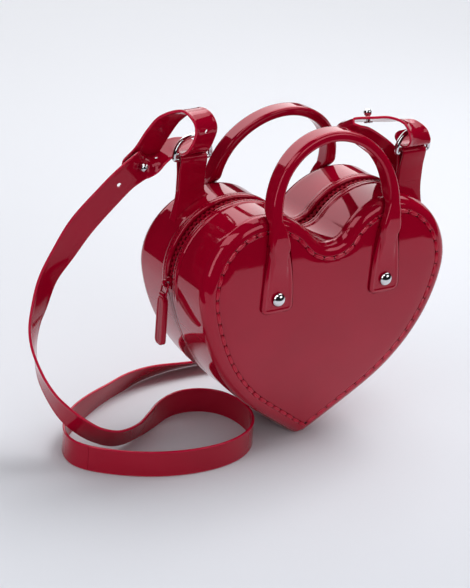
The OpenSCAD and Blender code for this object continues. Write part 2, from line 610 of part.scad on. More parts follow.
run_shares = [
    [-0.61, 0.131, 0.96, -0.63, 0.01, 0.77], [-0.662, 0.143, 0.905, -0.64, 0, 0.77],
    [-0.743, 0.171, 0.8, -0.7, 0.03, 0.71], [-0.795, 0.195, 0.7, -0.83, -0.1, 0.55],
    [-0.843, 0.21, 0.605, -0.87, -0.33, 0.38], [-0.871, 0.214, 0.5, -0.8, -0.49, 0.36],
    [-0.885, 0.215, 0.424, -0.64, -0.62, 0.45], [-0.888, 0.2, 0.345, -0.46, -0.77, 0.44],
    [-0.88, 0.16, 0.267, -0.22, -0.81, 0.55], [-0.857, 0.117, 0.205, -0.08, -0.78, 0.63],
    [-0.829, 0.076, 0.162, 0, -0.61, 0.79], [-0.79, 0.046, 0.125, -0.07, -0.51, 0.86],
    [-0.738, 0.028, 0.088, -0.13, -0.52, 0.85], [-0.67, 0.017, 0.062, -0.23, -0.49, 0.84],
    [-0.59, 0.038, 0.05, -0.46, -0.45, 0.77], [-0.51, 0.083, 0, -0.52, -0.44, 0.73],
    [-0.44, 0.126, 0, -0.57, -0.35, 0.74], [-0.375, 0.16, 0, -0.5, -0.2, 0.85],
    [-0.31, 0.171, 0, -0.19, 0, 0.98], [-0.245, 0.155, 0, 0, 0, 1],
    [-0.195, 0.115, 0, 0, 0, 1], [-0.167, 0.057, 0, 0, 0, 1],
    [-0.16, -0.01, 0, 0, 0, 1], [-0.171, -0.072, 0, 0, 0, 1],
    [-0.203, -0.13, 0, 0, 0, 1], [-0.255, -0.176, 0, 0, 0, 1],
    [-0.325, -0.206, 0, 0, 0, 1], [-0.41, -0.217, 0, 0, 0, 1],
    [-0.505, -0.208, 0, 0, 0, 1], [-0.6, -0.181, 0, 0, 0, 1],
    [-0.685, -0.138, 0, 0, 0, 1], [-0.752, -0.09, 0, 0, 0, 1],
    [-0.8, -0.043, 0, 0, 0, 1], [-0.827, 0.005, 0, 0, 0, 1],
    [-0.831, 0.057, 0, 0, 0, 1], [-0.814, 0.114, 0, 0, 0, 1],
    [-0.776, 0.171, 0, 0, 0, 1], [-0.714, 0.229, 0, 0, 0, 1],
    [-0.638, 0.281, 0, 0.03, -0.1, 0.99], [-0.543, 0.333, 0, 0.08, -0.26, 0.96],
    [-0.429, 0.386, 0, -0.12, -0.39, 0.91], [-0.305, 0.428, 0, -0.25, -0.6, 0.76],
    [-0.171, 0.443, 0, -0.3, -0.74, 0.6], [-0.038, 0.438, 0, -0.2, -0.82, 0.52],
    [0.095, 0.428, 0, -0.05, -0.88, 0.45], [0.21, 0.418, 0, 0, -0.95, 0.3],
    [0.315, 0.404, 0, 0, -0.98, 0.15], [0.4, 0.382, 0.012, 0, -1, 0.05],
    [0.466, 0.352, 0.045, 0, -1, 0], [0.51, 0.314, 0.124, 0, -1, 0],
    [0.533, 0.271, 0.238, 0, -1, 0], [0.543, 0.224, 0.371, 0, -1, 0],
    [0.543, 0.181, 0.505, 0, -1, 0], [0.533, 0.138, 0.629, 0, -1, 0],
    [0.505, 0.095, 0.743, 0, -1, 0], [0.457, 0.048, 0.838, 0.1, -0.95, 0.1],
    [0.4, 0.005, 0.91, 0.25, -0.85, 0.35], [0.348, -0.024, 0.962, 0.4, -0.72, 0.52],
    [0.295, -0.04, 1.005, 0.44, -0.68, 0.58], [0.238, -0.048, 1.045, 0.44, -0.68, 0.58],
    [0.183, -0.05, 1.079, 0.4, -0.72, 0.55]];
right_end_shares = [
    [-0.238, 0.048, 0.087, 0.3, -0.8, 0.5], [-0.257, 0.055, 0.101, 0.1, -0.87, 0.48],
    [-0.236, 0.062, 0.116, -0.15, -0.87, 0.45], [-0.171, 0.045, 0.119, -0.24, -0.88, 0.42],
    [-0.11, 0.026, 0.119, -0.33, -0.84, 0.42], [-0.062, 0.002, 0.112, -0.55, -0.8, 0.25],
    [-0.029, -0.021, 0.095, -0.78, -0.6, -0.18], [-0.01, -0.036, 0.067, -0.9, -0.25, -0.36],
    [-0.002, -0.033, 0.036, -0.98, 0.1, -0.13], [0, 0, 0.023, -1, 0, 0],
    [0, 0.033, 0.033, -1, 0, 0], [-0.002, 0.057, 0.057, -1, 0, 0]];
function unit(v) = v / norm(v);
function rest_z(w) = strap_w / 2 * abs(w[2]) + strap_t / 2 * sqrt(1 - min(1, pow(w[2], 2)));
function listed(shares, from, up) = [for (q = shares)
    [from + [heart_w * q[0], heart_w * q[1], up * q[2]], [q[3], q[4], q[5]]]];
course = concat(listed(left_end_shares, [-ring_x, ring_y, ring_z], heart_w),
    listed(run_shares, [0, 0, 0], ring_z - strap_t),
    listed(right_end_shares, [ring_x, -ring_y, ring_z], heart_w));
last_place = len(course) - 1;
// The same places with the across direction squared to the course, and the resting heights
function squared(w, d) = unit(w - (w * d) * d);
places = [for (i = [0:last_place])
    let (c = course[i][0],
        w = squared(course[i][1], unit(course[min(last_place, i + 1)][0]
            - course[max(0, i - 1)][0])))
    [c[2] == 0 ? [c[0], c[1], rest_z(w) + 3 * seat] : c, w]];
// Steps of the course: each place is joined to the next by a smooth curve
function smooth(a, b, c, d, t) = b + t * (c - a) / 2
    + t * t * (2 * a - 5 * b + 4 * c - d) / 2 + t * t * t * (3 * b - a - 3 * c + d) / 2;
function place(u, k) = let (i = min(last_place - 1, max(0, floor(u))))
    smooth(places[max(0, i - 1)][k], places[i][k], places[i + 1][k],
        places[min(last_place, i + 2)][k], u - i);
function way_at(u) = unit(place(min(last_place, u + 1 / 8), 0)
    - place(max(0, u - 1 / 8), 0));
function across_at(u) = squared(place(u, 1), way_at(u));
function strap_section(u) = let (c = place(u, 0), w = across_at(u) * strap_w / 2,
    n = cross(way_at(u), across_at(u)) * strap_t / 2) [c + w + n, c - w + n, c - w - n, c + w - n];
fine_n = 4;
plain_n = 3;
seam_at = len(left_end_shares) + 32;
seam_gap = 1 / 60;
function steps_between(a, b, n) = [for (k = [0:ceil((b - a) * n)]) min(b, a + k / n)];
// A place on the strap, turned so that +Z points out of the side that carries the balls
module at_strap(u) {
    d = way_at(u);
    w = across_at(u);
    n = -cross(d, w);
    c = place(u, 0);
    multmatrix([[d[0], -w[0], n[0], c[0]], [d[1], -w[1], n[1], c[1]],
        [d[2], -w[2], n[2], c[2]], [0, 0, 0, 1]]) children();
}
left_stud_at = len(left_end_shares) - 1;
right_stud_at = last_place - 8;
right_fine_at = last_place - len(right_end_shares) - 1;
left_holes = [6, len(left_end_shares) - 3, len(left_end_shares) + 0.5];
right_holes = [last_place - 14];
module strap_bore(u, r) {
    at_strap(u) translate([0, 0, -past * strap_t])
        cylinder(r = r, h = 2 * past * strap_t, $fn = turn);
}
module strap_left_length() {
    color(cherry) difference() {
        tube([for (u = concat(steps_between(0, left_stud_at, fine_n),
            steps_between(left_stud_at + 1 / plain_n, seam_at - seam_gap, plain_n)))
            strap_section(u)]);
        strap_bore(left_stud_at, hole_r);
        for (u = left_holes) strap_bore(u, hole_r);
    }
}
module strap_right_length() {
    color(cherry) difference() {
        tube([for (u = concat(steps_between(seam_at, right_fine_at, plain_n),
            steps_between(right_fine_at + 1 / fine_n, last_place, fine_n)))
            strap_section(u)]);
        strap_bore(right_stud_at, hole_r);
        for (u = right_holes) strap_bore(u, hole_r);
    }
}

// Studs: a ball on a post through the strap, and a flat base riveted on under the strap
stud_post_r = ball_r / 2;
base_r = ball_r * 1.1;
base_t = ball_r / 3;
base_down = strap_t / 2 + 8 * seat + base_t;
ball_up = strap_t / 2 + seat + ball_r * 1.25;
module stud_ball(u) {
    color(metal) at_strap(u) union() {
        translate([0, 0, ball_up]) sphere(r = ball_r, $fn = turn);
        translate([0, 0, strap_t / 2 + 3 * seat])
            cylinder(r = ball_r * 0.6, h = ball_r * 0.9, $fn = turn);
        translate([0, 0, -base_down])
            cylinder(r = stud_post_r, h = base_down + ball_up, $fn = turn);
    }
}
module stud_base(u) {
    color(metal) at_strap(u) translate([0, 0, -base_down]) difference() {
        cylinder(r = base_r, h = base_t, $fn = turn);
        translate([0, 0, -base_t]) cylinder(r = stud_post_r + seat / 2, h = 3 * base_t, $fn = turn);
    }
}
module left_stud_ball() stud_ball(left_stud_at);
module left_stud_base() stud_base(left_stud_at);
module right_stud_ball() stud_ball(right_stud_at);
module right_stud_base() stud_base(right_stud_at);

front_shell();
back_shell();
joining_strip();
front_zip_tape();
back_zip_tape();
front_zip_teeth();
back_zip_teeth();
zip_start_stop();
zip_end_stop();
front_handle();
back_handle();
front_rivet_caps();
back_rivet_caps();
rivet_posts();
rivet_backs();
left_ring_tab();
right_ring_tab();
left_ring();
right_ring();
zip_slider();
slider_bridge();
pull_link();
pull_tab();
strap_left_length();
strap_right_length();
left_stud_ball();
left_stud_base();
right_stud_ball();
right_stud_base();
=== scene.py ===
# %% [markdown]
# # A moulded heart handbag, from solids to a photograph
#
# The solids of this bag already exist. They came from a parametric source and were packed as one
# model, and this lesson loads them as a fixed frame and dresses them. Glossy plastic works like a
# mirror, so a flat facet that nobody would see on cloth shows at once. That is why most pieces
# are made again here as smooth surfaces, worked out from the same sizes as the solids, and why
# the studio round the bag gets as much care as the bag.
#
# The order is: camera, small tools, materials, the pieces from the body outwards, and the studio.

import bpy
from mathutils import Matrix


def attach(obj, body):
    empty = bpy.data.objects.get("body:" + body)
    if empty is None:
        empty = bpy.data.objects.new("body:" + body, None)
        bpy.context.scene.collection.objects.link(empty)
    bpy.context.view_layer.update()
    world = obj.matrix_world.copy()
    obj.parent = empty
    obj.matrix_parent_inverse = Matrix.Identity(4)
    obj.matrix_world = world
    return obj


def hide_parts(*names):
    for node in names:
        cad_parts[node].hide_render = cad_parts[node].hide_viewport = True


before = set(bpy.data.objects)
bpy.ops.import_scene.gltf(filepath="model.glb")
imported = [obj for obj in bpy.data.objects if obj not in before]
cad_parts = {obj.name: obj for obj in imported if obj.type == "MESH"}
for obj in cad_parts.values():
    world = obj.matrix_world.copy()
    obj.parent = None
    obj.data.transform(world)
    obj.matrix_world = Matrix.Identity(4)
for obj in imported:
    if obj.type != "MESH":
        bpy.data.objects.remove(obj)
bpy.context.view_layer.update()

import math

import bmesh
import bpy
import numpy as np
from mathutils import Matrix, Vector

MM = 0.001
scene = bpy.context.scene


def in_scene(thing):
    """The object, now linked into the scene."""
    scene.collection.objects.link(thing)
    return thing


# %% [markdown]
# ## The camera
#
# The photograph was taken from the front left and a little above, with a long lens and with the
# camera rolled about 5 degrees. The place and the three directions of the camera are written in
# the frame's own axes, so the bag itself can stay upright and symmetric. Blender wants the three
# directions as the columns of a matrix, so the matrix of rows is transposed.

# %% Camera
CAMERA_PLACE = (-0.6475, -0.8764, 0.5874)
CAMERA_RIGHT = (0.8423, -0.5337, 0.0759)
CAMERA_UP = (0.1611, 0.3835, 0.9094)
CAMERA_BACK = (-0.5145, -0.7537, 0.4090)
LENS_MM, SENSOR_MM = 99.14, 36

camera = in_scene(bpy.data.objects.new("camera", bpy.data.cameras.new("camera")))
camera.data.lens, camera.data.sensor_width = LENS_MM, SENSOR_MM
facing = Matrix((CAMERA_RIGHT, CAMERA_UP, CAMERA_BACK)).transposed().to_4x4()
camera.matrix_world = Matrix.Translation(CAMERA_PLACE) @ facing
scene.camera = camera
print("camera", round(Vector(CAMERA_PLACE).length, 3), "m from the origin")

# %% [markdown]
# ## Small tools: grids of points become sewn meshes
#
# By hand one would draw the heart as a curve, extrude it, inset its faces and bevel its edges,
# and every change of a size would mean doing all of that again. Here a shape is a function of
# two parameters. It gives a grid of points, and neighbours on the grid become quads. Where two
# grids meet, or a grid closes on itself, their points coincide and are merged, so the piece ends
# up as one closed skin whose faces all point outwards. numpy works out a whole grid at once,
# which is far quicker than a Python loop over vertices.

# %% Directions, easing and humps
def unit(v):
    """Each row of v divided by its own length."""
    return v / np.linalg.norm(v, axis=-1, keepdims=True)


def ease(t):
    """0 up to t = 0, 1 from t = 1, and 3 t^2 - 2 t^3 between, so a form starts with no kink."""
    t = np.clip(t, 0, 1)
    return t * t * (3 - 2 * t)


def hump(t):
    """0 at t = 0 and at t = 1, and 1 halfway between: the square of the sine of pi t."""
    return np.sin(np.pi * t) ** 2


print("ease and hump at a quarter:", ease(0.25), round(float(hump(0.25)), 3))


# %% From points to a mesh
def grid_quads(rows, columns, first=0):
    """Quads that join each point of a grid to the next row and the next column."""
    r, c = np.meshgrid(np.arange(rows - 1), np.arange(columns - 1), indexing="ij")
    a = first + r * columns + c
    return np.stack([a, a + 1, a + columns + 1, a + columns], -1).reshape(-1, 4)


print("a grid of 3 by 4 points has", len(grid_quads(3, 4)), "quads")


def quad_mesh(name, points, quads, uv=None):
    """A mesh of quads from an array of points in millimetres, with uv per point if given."""
    mesh = bpy.data.meshes.new(name)
    mesh.from_pydata(points * MM, [], quads)
    if uv is not None:
        layer = mesh.uv_layers.new(name="run")
        layer.data.foreach_set("uv", uv[quads.ravel()].astype(np.float32).ravel())
    return mesh


# Points closer than this, in metres, are one point. Edges from this angle up stay sharp.
SEW_WITHIN, SHARP_FROM = 1e-6, math.radians(50)


def sewn(name, grids, uvs=None, creases=None):
    """Grids of points (rows, columns, 3) merged into one skin with outward faces.

    creases gives each point of each grid a share of painted shade from 0 to 1, which the materials
    read.
    """
    firsts = np.cumsum([0] + [grid.shape[0] * grid.shape[1] for grid in grids])
    quads = [grid_quads(*grid.shape[:2], first) for grid, first in zip(grids, firsts)]
    uv = None if uvs is None else np.concatenate([u.reshape(-1, 2) for u in uvs])
    mesh = quad_mesh(name, np.concatenate([grid.reshape(-1, 3) for grid in grids]),
                     np.concatenate(quads), uv)
    if creases is not None:
        share = np.concatenate([np.ravel(c) for c in creases]).astype(np.float32)
        mesh.attributes.new("crease", "FLOAT", "POINT").data.foreach_set("value", share)
    work = bmesh.new()
    work.from_mesh(mesh)
    bmesh.ops.remove_doubles(work, verts=work.verts, dist=SEW_WITHIN)
    bmesh.ops.dissolve_degenerate(work, edges=work.edges, dist=SEW_WITHIN)
    bmesh.ops.recalc_face_normals(work, faces=work.faces)
    work.to_mesh(mesh)
    work.free()
    mesh.polygons.foreach_set("use_smooth", [True] * len(mesh.polygons))
    mesh.set_sharp_from_angle(angle=SHARP_FROM)
    return mesh


# %% [markdown]
# ## From a mesh to a piece of the bag
#
# Every piece rides on one body of the model, so that it moves with the right joint, and most
# stand for one of the solids, which is then hidden. The bag's back is its front turned half
# round, and its left ring tab is the right one turned the same way. So most pieces come as
# twins, from one set of grids.

# %% Pieces and twins
FRONT_BACK, RIGHT_LEFT = ("front", "back"), ("right", "left")
MIRROR, HALF_TURN = np.array([-1.0, 1.0, 1.0]), np.array([-1.0, -1.0, 1.0])
X_WAY, Y_WAY = np.array([1.0, 0.0, 0.0]), np.array([0.0, 1.0, 0.0])


def place_piece(name, mesh, material, stands_for=(), body="bag"):
    """A finished piece: its mesh is already in place, so the object stays at the origin."""
    piece = in_scene(bpy.data.objects.new(name, mesh))
    mesh.materials.clear()
    mesh.materials.append(material)
    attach(piece, body)
    if stands_for:
        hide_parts(*stands_for)
    print(name, len(mesh.vertices), "points")
    return piece


def twins(sides, name, grids, material, solid=None, body="bag", slot="body", **marks):
    """The piece as made for the first side, and half a turn round the bag for the second.

    A * in a name stands for the side. marks are the uvs or the shares of painted shade of the
    grids.
    """
    for side, turn in zip(sides, (1, HALF_TURN)):
        own, rides_on = name.replace("*", side), body.replace("*", side)
        solids = [solid.replace("*", side)] if solid else []
        mesh = sewn(own, [grid * turn for grid in grids], **marks)
        place_piece(own, mesh, material, solids, rides_on)


print("half a turn takes (1, 2, 3) to", np.array([1, 2, 3]) * HALF_TURN)

# %% [markdown]
# ## Profiles carried along a path
#
# Straps, wires and arches are all one idea: a small closed profile that travels along a path. In
# Blender's own terms that is a curve with a bevel object, but a curve can't change its profile
# on the way, and its twist is hard to steer. Here the profile gets two directions at each
# place, one across the path and one square to both, and may change from place to place.

# %% Profiles
def arc(middle, radius, angles):
    """Points at the given angles on a circle."""
    return np.array(middle) + radius * np.stack([np.cos(angles), np.sin(angles)], -1)


def circle(radius, steps):
    """Points round a circle about the origin."""
    return arc((0, 0), radius, np.arange(steps) * 2 * np.pi / steps)


def hairpin(leg, radius, steps):
    """A line up a leg at the left, half round the origin, and down the same leg at the right."""
    over = arc((0, 0), radius, np.linspace(np.pi, 0, steps))[1:-1]
    return np.concatenate([leg, over, (leg * [-1, 1])[::-1]])


def cornered(half_w, radius, inside):
    """Half width of a plate, inside a round corner by a distance: w - r + root of r^2 - d^2."""
    return half_w - radius + np.sqrt(np.maximum(radius ** 2 - inside ** 2, 0))


QUARTERS = np.array([[1, 1], [-1, 1], [-1, -1], [1, -1]])


def rounded_box(half_x, half_y, corner, steps=4, flats=0):
    """Points round a rectangle: quarter circles at its corners, and flats points in between.

    The three sizes may be single numbers or one per section, and then there is one ring of
    points for each section.
    """
    half_x, half_y, corner = (np.asarray(v, float)[..., None, None]
                              for v in np.broadcast_arrays(half_x, half_y, corner))
    a = np.linspace(0, np.pi / 2, steps + 1) + np.arange(4)[:, None] * np.pi / 2
    x = QUARTERS[:, :1] * (half_x - corner) + corner * np.cos(a)
    y = QUARTERS[:, 1:] * (half_y - corner) + corner * np.sin(a)
    points = np.stack([x, y], -1)
    if flats:
        share = (np.arange(flats) + 1)[:, None] / (flats + 1)
        ends, starts = points[..., -1:, :], np.roll(points, -1, axis=-3)[..., :1, :]
        points = np.concatenate([points, ends + (starts - ends) * share], -2)
    return points.reshape(points.shape[:-3] + (-1, 2))


print("points round a rounded box:", len(rounded_box(2, 1, 0.5)))


# %% Sweeps
def ways(path, closed=False):
    """Unit direction of travel at each point: from the point before to the point after."""
    if closed:
        return unit(np.roll(path, -1, axis=0) - np.roll(path, 1, axis=0))
    return unit(np.gradient(path, axis=0))


def squared(across, way):
    """The across directions with their part along the way taken out."""
    return unit(across - (across * way).sum(-1, keepdims=True) * way)


def carried(path, across, profile, closed=False):
    """Ring of points at each place: path + across * profile x + (way x across) * profile y."""
    way = ways(path, closed)
    side = squared(np.broadcast_to(across, path.shape), way)
    up = np.cross(way, side)
    profile = np.broadcast_to(profile, (len(path),) + profile.shape[-2:])
    grid = path[:, None] + side[:, None] * profile[..., :1] + up[:, None] * profile[..., 1:]
    grid = closed_rings(grid)
    return np.concatenate([grid, grid[:1]], 0) if closed else grid


def closed_rings(grid):
    """The grid with the first point of each ring repeated at its end, which closes the ring."""
    return np.concatenate([grid, grid[:, :1]], 1)


def capped(grid):
    """The grid with a last ring at each end that has shrunk to its middle, which closes it."""
    ends = [np.broadcast_to(grid[k, :-1].mean(0), grid[k].shape)[None] for k in (0, -1)]
    return np.concatenate([ends[0], grid, ends[1]], 0)


def run_uv(distances, across):
    """The uv of a capped grid: distance along it, in metres, and a value across it."""
    uv = np.stack(np.broadcast_arrays(distances[:, None] * MM, across), -1)
    return np.concatenate([uv[:1], uv, uv[-1:]])


tube = capped(carried(np.linspace([0, 0, 0], [0, 0, 9], 4), X_WAY, circle(1, 8)))
print("a tube with 4 rings of 8 points closes as a grid of", tube.shape[:2])


# %% Turned forms, and forms set in place
def spun(profile, steps=40):
    """A profile of (radius, height) points turned about the Z axis."""
    a = np.linspace(0, 2 * np.pi, steps + 1)
    r, z = profile[:, :1], profile[:, 1:]
    return np.stack([r * np.cos(a), r * np.sin(a), np.broadcast_to(z, (len(z), len(a)))], -1)


def stood(grid, place, axis, across=(1, 0, 0)):
    """The grid moved from the origin to a place, with its Z axis turned to axis."""
    z = unit(np.array(axis, float))
    x = squared(np.array(across, float)[None], z[None])[0]
    return np.array(place) + grid @ np.stack([x, np.cross(z, x), z])


cone = spun(np.array([[2, 0], [0, 5]]))
print("a cone laid along Y reaches", stood(cone, (0, 0, 0), Y_WAY).max((0, 1)).round(1))


# %% Lines measured by their length
def lengths_along(line):
    """Distance from the start of a line to each of its points."""
    return np.concatenate([[0], np.cumsum(np.linalg.norm(np.diff(line, axis=0), axis=-1))])


def points_at(line, distances):
    """Points of the line at the given distances from its start."""
    run = lengths_along(line)
    return np.stack([np.interp(distances, run, line[:, k]) for k in range(3)], -1)


def even_distances(line, pitch):
    """Distances about a pitch apart that share out the line, half a step in from its ends."""
    length = lengths_along(line)[-1]
    count = round(length / pitch)
    return (np.arange(count) + 0.5) * length / count


def looped(line):
    """The line with its first point repeated at the end."""
    return np.concatenate([line, line[:1]])


def evened(line, count):
    """A closed line cut into count equal lengths."""
    line = looped(line)
    return points_at(line, np.arange(count) * lengths_along(line)[-1] / count)


def softened(line, passes):
    """A closed line whose corners are rounded by averaging each point with its neighbours."""
    for _ in range(passes):
        line = (np.roll(line, 1, 0) + 2 * line + np.roll(line, -1, 0)) / 4
    return line


ten_long = np.array([[0, 0, 0], [10, 0, 0]])
print("places about 3 mm apart on 10 mm:", even_distances(ten_long, 3).round(2))

# %% [markdown]
# ## Materials
#
# The bag is injection moulded PVC, dyed cherry red right through. Such plastic is smooth enough
# to mirror the studio, but never perfectly: the melt leaves broad soft waves, and handling leaves
# faint haze. One node group makes those effects for every red piece, each with its own size of
# wave. The group only gives out numbers, and the shader itself stays in each material. The zip's
# tape is woven, its teeth are a satin plastic, and rivets, rings and studs are chromed.

# %% Nodes in short
def feed(tree, target, inputs):
    """Give each input, by name or number, a value or a link from another node's output."""
    for key, value in inputs.items():
        if isinstance(value, bpy.types.NodeSocket):
            tree.links.new(value, target.inputs[key])
        else:
            target.inputs[key].default_value = value


def node(tree, kind, inputs=None, **settings):
    """A new shader node with its settings made and its inputs fed."""
    made = tree.nodes.new("ShaderNode" + kind)
    for name, value in settings.items():
        setattr(made, name, value)
    feed(tree, made, inputs or {})
    return made


def new_material(name):
    """A material, its node tree and its Principled shader."""
    material = bpy.data.materials.new(name)
    material.use_nodes = True
    return material, material.node_tree, material.node_tree.nodes["Principled BSDF"]


def rgba(colour):
    """The colour with an alpha of 1."""
    return (*colour, 1)


def ramp(tree, share, low, high):
    """The colour at a share on a ramp between two (place, colour) stops."""
    made = node(tree, "ValToRGB", {"Fac": share})
    for stop, (place, colour) in zip(made.color_ramp.elements, (low, high)):
        stop.position, stop.color = place, rgba(colour)
    return made.outputs["Color"]


MIX_FROM, MIX_TO, MIX_RESULT = 6, 7, 2    # the colour sockets of a Mix node


def blended(tree, share, socket, colour):
    """The socket's colour, which goes over into a fixed colour as the share goes to 1."""
    mix = node(tree, "Mix", data_type="RGBA")
    feed(tree, mix, {"Factor": share, MIX_FROM: socket, MIX_TO: rgba(colour)})
    return mix.outputs[MIX_RESULT]


def bumped(tree, height, strength, distance_mm):
    """The normal of a surface with this height, in shares of a distance."""
    made = node(tree, "Bump", {"Height": height, "Strength": strength,
                               "Distance": distance_mm * MM})
    return made.outputs["Normal"]


print("an opaque grey:", rgba((0.5, 0.5, 0.5)))

# %% Node group: waves, haze and tone of a moulded surface
def moulded_group():
    """Three noises at the same place: broad waves, cloudy tone, and fine smears for the haze."""
    tree = bpy.data.node_groups.new("moulded_surface", "ShaderNodeTree")
    for name in ("Coordinates", "Waves per metre", "Haze low", "Haze high"):
        kind = "NodeSocketVector" if name == "Coordinates" else "NodeSocketFloat"
        tree.interface.new_socket(name, in_out="INPUT", socket_type=kind)
    for name in ("Tone", "Haze", "Height"):
        tree.interface.new_socket(name, in_out="OUTPUT", socket_type="NodeSocketFloat")
    given = tree.nodes.new("NodeGroupInput").outputs
    place = given["Coordinates"]
    wave = node(tree, "TexNoise", {"Vector": place, "Scale": given["Waves per metre"],
                                   "Detail": 1.0, "Roughness": 0.4})
    tone = node(tree, "TexNoise", {"Vector": place, "Scale": 14.0, "Detail": 3.0,
                                   "Roughness": 0.5})
    smear = node(tree, "TexNoise", {"Vector": place, "Scale": 60.0, "Detail": 6.0,
                                    "Roughness": 0.7, "Distortion": 1.2})
    haze = node(tree, "MapRange", {"Value": smear.outputs["Fac"], "From Min": 0.35,
                                   "From Max": 0.75, "To Min": given["Haze low"],
                                   "To Max": given["Haze high"]})
    feed(tree, tree.nodes.new("NodeGroupOutput"), {
        "Tone": tone.outputs["Fac"], "Haze": haze.outputs["Result"],
        "Height": wave.outputs["Fac"]})
    return tree


MOULDED = moulded_group()


def moulded(tree, waves, haze):
    """The group's outputs at the object's own coordinates."""
    place = node(tree, "TexCoord").outputs["Object"]
    made = node(tree, "Group", {"Coordinates": place, "Waves per metre": waves,
                                "Haze low": haze[0], "Haze high": haze[1]}, node_tree=MOULDED)
    return made.outputs


print("sockets of the group:", [item.name for item in MOULDED.interface.items_tree])

# %% Red moulded plastic
CHERRY_DEEP, CHERRY = (0.265, 0.0003, 0.012), (0.315, 0.0005, 0.016)
# the second colour is painted shade, for the bottoms of grooves and creases where little light
# reaches
EDGE_HIGHLIGHT_RED, PAINTED_SHADE_RED = (0.5, 0.004, 0.035), (0.05, 0.0, 0.002)
MIRROR_TINT = (1.0, 0.38, 0.45)


def edge_highlight_mask(tree, rims):
    """0 over the middle of a strap and 1 at its two sides, which get a painted highlight.

    The uv map holds the distance along the strap, and across it 0 to 1 from side to side.
    """
    uv = node(tree, "UVMap", uv_map="run").outputs["UV"]
    across = node(tree, "SeparateXYZ", {"Vector": uv}).outputs["Y"]
    off = node(tree, "Math", {0: across, 1: 0.5}, operation="SUBTRACT").outputs[0]
    size = node(tree, "Math", {0: off}, operation="ABSOLUTE").outputs[0]
    mask = node(tree, "MapRange", {"Value": size, "From Min": 0.5 - rims, "From Max": 0.5})
    return mask.outputs["Result"]


def cherry_plastic(name, waves, wave_height, haze=(0.03, 0.09), rims=None, shade=1.0,
                   gloss=1.0):
    """Glossy dyed plastic with waves per metre of a height in millimetres.

    haze is the lowest and the highest roughness, rims the share of a strap's width that gets
    a painted highlight at each side, shade multiplies the colour, and gloss the strength of the
    mirror image.
    """
    material, tree, shader = new_material(name)
    surface = moulded(tree, waves, haze)
    deep, full = (tuple(shade * c for c in colour) for colour in (CHERRY_DEEP, CHERRY))
    colour = ramp(tree, surface["Tone"], (0.3, deep), (0.7, full))
    # a painted highlight: the strap's two edges are lightened towards a paler red
    if rims is not None:
        colour = blended(tree, edge_highlight_mask(tree, rims), colour, EDGE_HIGHLIGHT_RED)
    # painted shade: little light reaches the bottom of a moulded groove, so its colour is darkened
    # there
    crease = node(tree, "Attribute", attribute_name="crease").outputs["Fac"]
    feed(tree, shader, {
        "Base Color": blended(tree, crease, colour, PAINTED_SHADE_RED), "Roughness": surface["Haze"],
        "Normal": bumped(tree, surface["Height"], 1.0, wave_height), "IOR": 1.5,
        "Specular IOR Level": gloss, "Specular Tint": rgba(MIRROR_TINT)})
    return material


body_red = cherry_plastic("body_red", waves=26, wave_height=0.05)
handle_red = cherry_plastic("handle_red", waves=45, wave_height=0.03)
strap_red = cherry_plastic("strap_red", waves=22, wave_height=0.05, haze=(0.04, 0.12),
                           rims=0.07, gloss=0.7)
small_red = cherry_plastic("small_red", waves=120, wave_height=0.02, haze=(0.06, 0.16),
                           gloss=0.5)
tab_red = cherry_plastic("tab_red", waves=70, wave_height=0.5, haze=(0.05, 0.15), gloss=0.4)
# the stitches are lighter copies of the red, with shade above 1: a painted highlight on their
# raised rods
stitch_red = cherry_plastic("stitch_red", waves=300, wave_height=0.03, haze=(0.12, 0.25),
                            shade=1.4)
fine_stitch_red = cherry_plastic("fine_stitch_red", waves=300, wave_height=0.03,
                                 haze=(0.2, 0.4), shade=1.2)
tooth_red = cherry_plastic("tooth_red", waves=400, wave_height=0.05, haze=(0.6, 0.8),
                           shade=0.8, gloss=0.05)
print("red materials:", len(bpy.data.materials))


# %% Chrome and zip tape
def chrome_metal():
    """Polished chrome: metallic all over, with fine handling haze and a few faint scratches."""
    material, tree, shader = new_material("chrome")
    surface = moulded(tree, 160, (0.04, 0.16))
    place = node(tree, "TexCoord").outputs["Object"]
    stretched = node(tree, "Mapping", {"Vector": place, "Scale": (1, 0.08, 1)})
    scratch = node(tree, "TexNoise", {"Vector": stretched.outputs["Vector"], "Scale": 900.0,
                                      "Detail": 2.0})
    feed(tree, shader, {
        "Metallic": 1.0, "Roughness": surface["Haze"],
        "Base Color": ramp(tree, surface["Tone"], (0.3, (0.62, 0.62, 0.64)),
                           (0.7, (0.8, 0.8, 0.82))),
        "Normal": bumped(tree, scratch.outputs["Fac"], 0.15, 0.01)})
    return material


def woven_tape():
    """Twill tape: the product of two band waves at opposite slants is high where threads cross."""
    material, tree, shader = new_material("woven_tape")
    uv = node(tree, "UVMap", uv_map="run").outputs["UV"]
    ribs = []
    for slant in (0.6, -0.9):
        tilted = node(tree, "Mapping", {"Vector": uv, "Rotation": (0, 0, slant)})
        ribs.append(node(tree, "TexWave", {"Vector": tilted.outputs["Vector"], "Scale": 420.0,
                                           "Distortion": 0.4}).outputs["Fac"])
    weave = node(tree, "Math", {0: ribs[0], 1: ribs[1]}, operation="MULTIPLY").outputs[0]
    rough = node(tree, "MapRange", {"Value": weave, "To Min": 0.85, "To Max": 0.55})
    feed(tree, shader, {
        "Specular IOR Level": 0.15, "Roughness": rough.outputs["Result"],
        "Base Color": ramp(tree, weave, (0.0, (0.2, 0.0008, 0.012)),
                           (0.8, (0.3, 0.0015, 0.02))),
        "Normal": bumped(tree, weave, 0.6, 0.2)})
    return material


chrome, tape_cloth = chrome_metal(), woven_tape()
print("materials:", [material.name for material in bpy.data.materials])

# %% [markdown]
# ## The heart's outline
#
# A heart drawn by eye looks lumpy as soon as it shines. This one is built like a drawing office
# would: a hollow arc, two lobes, two long side curves, straight flanks and a tip, each tangent to
# the next. They are the same arcs as in the source, in many more steps. An inset of e millimetres
# moves every arc towards the inside, so one outline makes the wall, the lip, the rim and the
# stitch groove.

